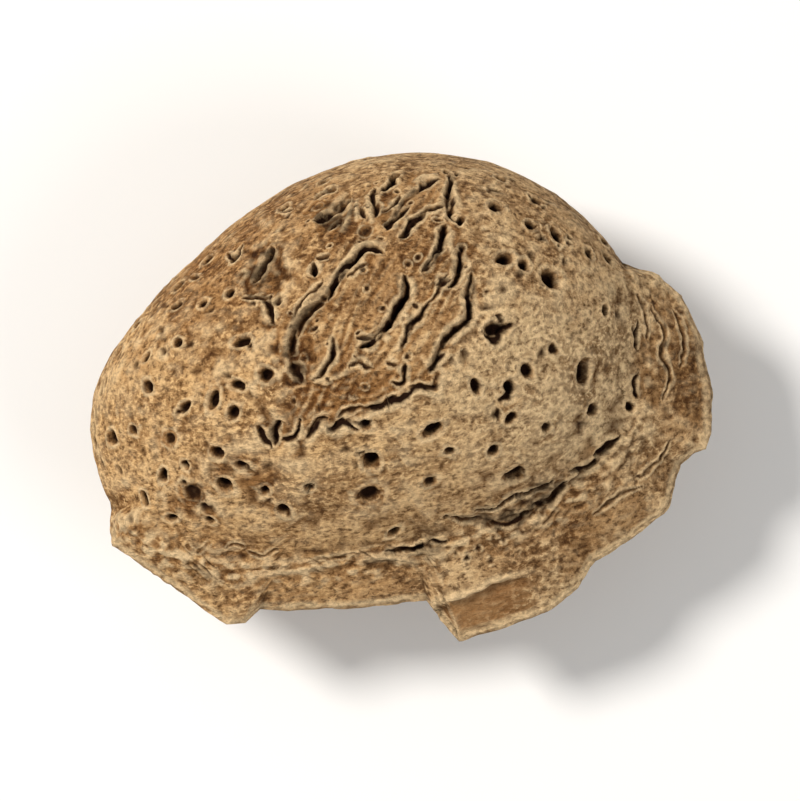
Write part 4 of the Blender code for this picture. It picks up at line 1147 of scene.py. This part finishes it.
class ALMOND_OT_make_shell(Operator):
    """Model the almond's shell with its keel, pits and furrows"""

    bl_idname = "almond.make_shell"
    bl_label = "Make Shell"
    bl_options = {"REGISTER", "UNDO"}

    def execute(self, context):
        shell, colours, _ = settings_of(context)
        pits = all_pits()
        pores = all_pores(pits)
        lines = {
            "hollows": hollow_routes(), "cracks": crack_routes(),
            "ledges": on_surface(LEDGES), "ridges": on_surface(RIDGES),
        }
        thin = lines["cracks"] + lines["ridges"] + lines["ledges"]

        bm = bmesh.new()
        rounded_cube(bm, shell.cells)
        refine_near_relief(bm, pits, thin, (0.12, 0.0))
        directions = directions_of(bm)
        points = skin_points(directions)
        ragged_edge(points, directions)
        for vert, point in zip(bm.verts, points):
            vert.co = point
        bm.normal_update()
        outward = np.array([vert.normal for vert in bm.verts])

        relief = shell_relief(points, directions, pits + pores, lines)
        points = points + outward * (relief["raise"] - relief["sink"] - relief["deep"])[:, None]
        level = points[:, 2].min() + REST_CUT
        points[:, 2] = np.maximum(points[:, 2], level)
        low = Vector((-shell.length / 2, -shell.width / 2, 0.0))
        high = Vector((shell.length / 2, shell.width / 2, shell.thickness))
        points = fit_to_box(points, low, high)
        for vert, point in zip(bm.verts, points):
            vert.co = point
        bm.verts.index_update()
        lay_map(bm, directions)
        bmesh.ops.triangulate(bm, faces=bm.faces[:])
        bm.normal_update()

        edges = np.array([(edge.verts[0].index, edge.verts[1].index) for edge in bm.edges])
        outward = np.array([vert.normal for vert in bm.verts])
        mean = np.stack([evened(axis, edges, len(points), 4) for axis in points.T], axis=1)
        bulge = ((points - mean) * outward).sum(axis=1) / MM

        mesh = bpy.data.meshes.new("almond_shell")
        bm.to_mesh(mesh)
        bm.free()
        mesh.shade_smooth()
        for name in ("dark_lining_and_shade", "wear_and_highlight", "torn", "bare", "stain_and_shade", "rim"):
            add_mask(mesh, name, relief[name])
        # The skin's bend is painted: convex places pale as a highlight with some wear, concave places dark as
        # shade, less so where the keel starts.
        add_mask(mesh, "convex_wear_and_highlight", bulge / 0.05)
        add_mask(mesh, "concave_shade", -bulge / 0.05 * (1.0 - 0.9 * relief["fold"]))
        mesh.materials.append(shell_material(colours))
        piece = bpy.data.objects.new("almond_shell", mesh)
        context.scene.collection.objects.link(piece)
        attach(piece, BODY)
        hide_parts(NODE)
        print("triangles", len(mesh.polygons))
        return {"FINISHED"}


def area_light(name, location, target, size, power, colour=(1.0, 1.0, 1.0)):
    data = bpy.data.lights.new(name, "AREA")
    data.shape = "DISK"
    data.size = size
    data.energy = power
    data.color = colour
    lamp = bpy.data.objects.new(name, data)
    lamp.location = location
    lamp.rotation_euler = (target - Vector(location)).to_track_quat("-Z", "Y").to_euler()
    bpy.context.scene.collection.objects.link(lamp)


class ALMOND_OT_make_stage(Operator):
    """Set the plain floor, the soft lights and the camera"""

    bl_idname = "almond.make_stage"
    bl_label = "Make Stage"
    bl_options = {"REGISTER", "UNDO"}

    def execute(self, context):
        _, _, stage = settings_of(context)
        scene = context.scene

        bm = bmesh.new()
        bmesh.ops.create_grid(bm, x_segments=1, y_segments=1, size=2.0)
        mesh = bpy.data.meshes.new("floor")
        bm.to_mesh(mesh)
        bm.free()
        material = bpy.data.materials.new("floor_finish")
        material.use_nodes = True
        shader = material.node_tree.nodes["Principled BSDF"]
        shader.inputs["Base Color"].default_value = (*stage.floor, 1.0)
        shader.inputs["Roughness"].default_value = 0.9
        mesh.materials.append(material)
        floor = bpy.data.objects.new("floor", mesh)
        scene.collection.objects.link(floor)

        middle = (CAD_BOX[0] + CAD_BOX[1]) / 2
        area_light("key", (-0.25, 0.17, 0.36), middle, 0.12, 2.24, (1.0, 0.97, 0.93))
        area_light("fill", (0.30, -0.26, 0.32), middle, 0.30, 0.95, (0.95, 0.97, 1.0))

        world = bpy.data.worlds.new("studio")
        world.use_nodes = True
        background = world.node_tree.nodes["Background"]
        background.inputs["Color"].default_value = (1.0, 0.99, 0.97, 1.0)
        background.inputs["Strength"].default_value = 0.40
        scene.world = world
        scene.view_settings.view_transform = "Standard"

        data = bpy.data.cameras.new("camera")
        data.lens = stage.lens
        camera = bpy.data.objects.new("camera", data)
        level = math.cos(stage.elevation)
        back = Vector(
            (math.sin(stage.azimuth) * level, -math.cos(stage.azimuth) * level, math.sin(stage.elevation))
        )
        camera.location = middle + back * stage.distance
        camera.rotation_euler = (-back).to_track_quat("-Z", "Y").to_euler()
        scene.collection.objects.link(camera)
        scene.camera = camera
        return {"FINISHED"}


class ALMOND_PT_panel(Panel):
    """Sizes, colours and steps of the almond"""

    bl_idname = "ALMOND_PT_panel"
    bl_label = "Almond"
    bl_space_type = "VIEW_3D"
    bl_region_type = "UI"
    bl_category = "Almond"

    def draw(self, context):
        layout = self.layout
        for settings in settings_of(context):
            box = layout.box()
            for name in settings.__annotations__:
                box.prop(settings, name)
        layout.operator(ALMOND_OT_make_shell.bl_idname)
        layout.operator(ALMOND_OT_make_stage.bl_idname)


CLASSES = (
    AlmondShellSettings, AlmondColours, AlmondStageSettings,
    ALMOND_OT_make_shell, ALMOND_OT_make_stage, ALMOND_PT_panel,
)


def register():
    for cls in CLASSES:
        bpy.utils.register_class(cls)
    bpy.types.Scene.almond_shell = PointerProperty(type=AlmondShellSettings)
    bpy.types.Scene.almond_colours = PointerProperty(type=AlmondColours)
    bpy.types.Scene.almond_stage = PointerProperty(type=AlmondStageSettings)


def unregister():
    del bpy.types.Scene.almond_stage
    del bpy.types.Scene.almond_colours
    del bpy.types.Scene.almond_shell
    for cls in reversed(CLASSES):
        bpy.utils.unregister_class(cls)


def main():
    register()
    bpy.ops.almond.make_shell()
    bpy.ops.almond.make_stage()


if __name__ == "__main__":
    main()
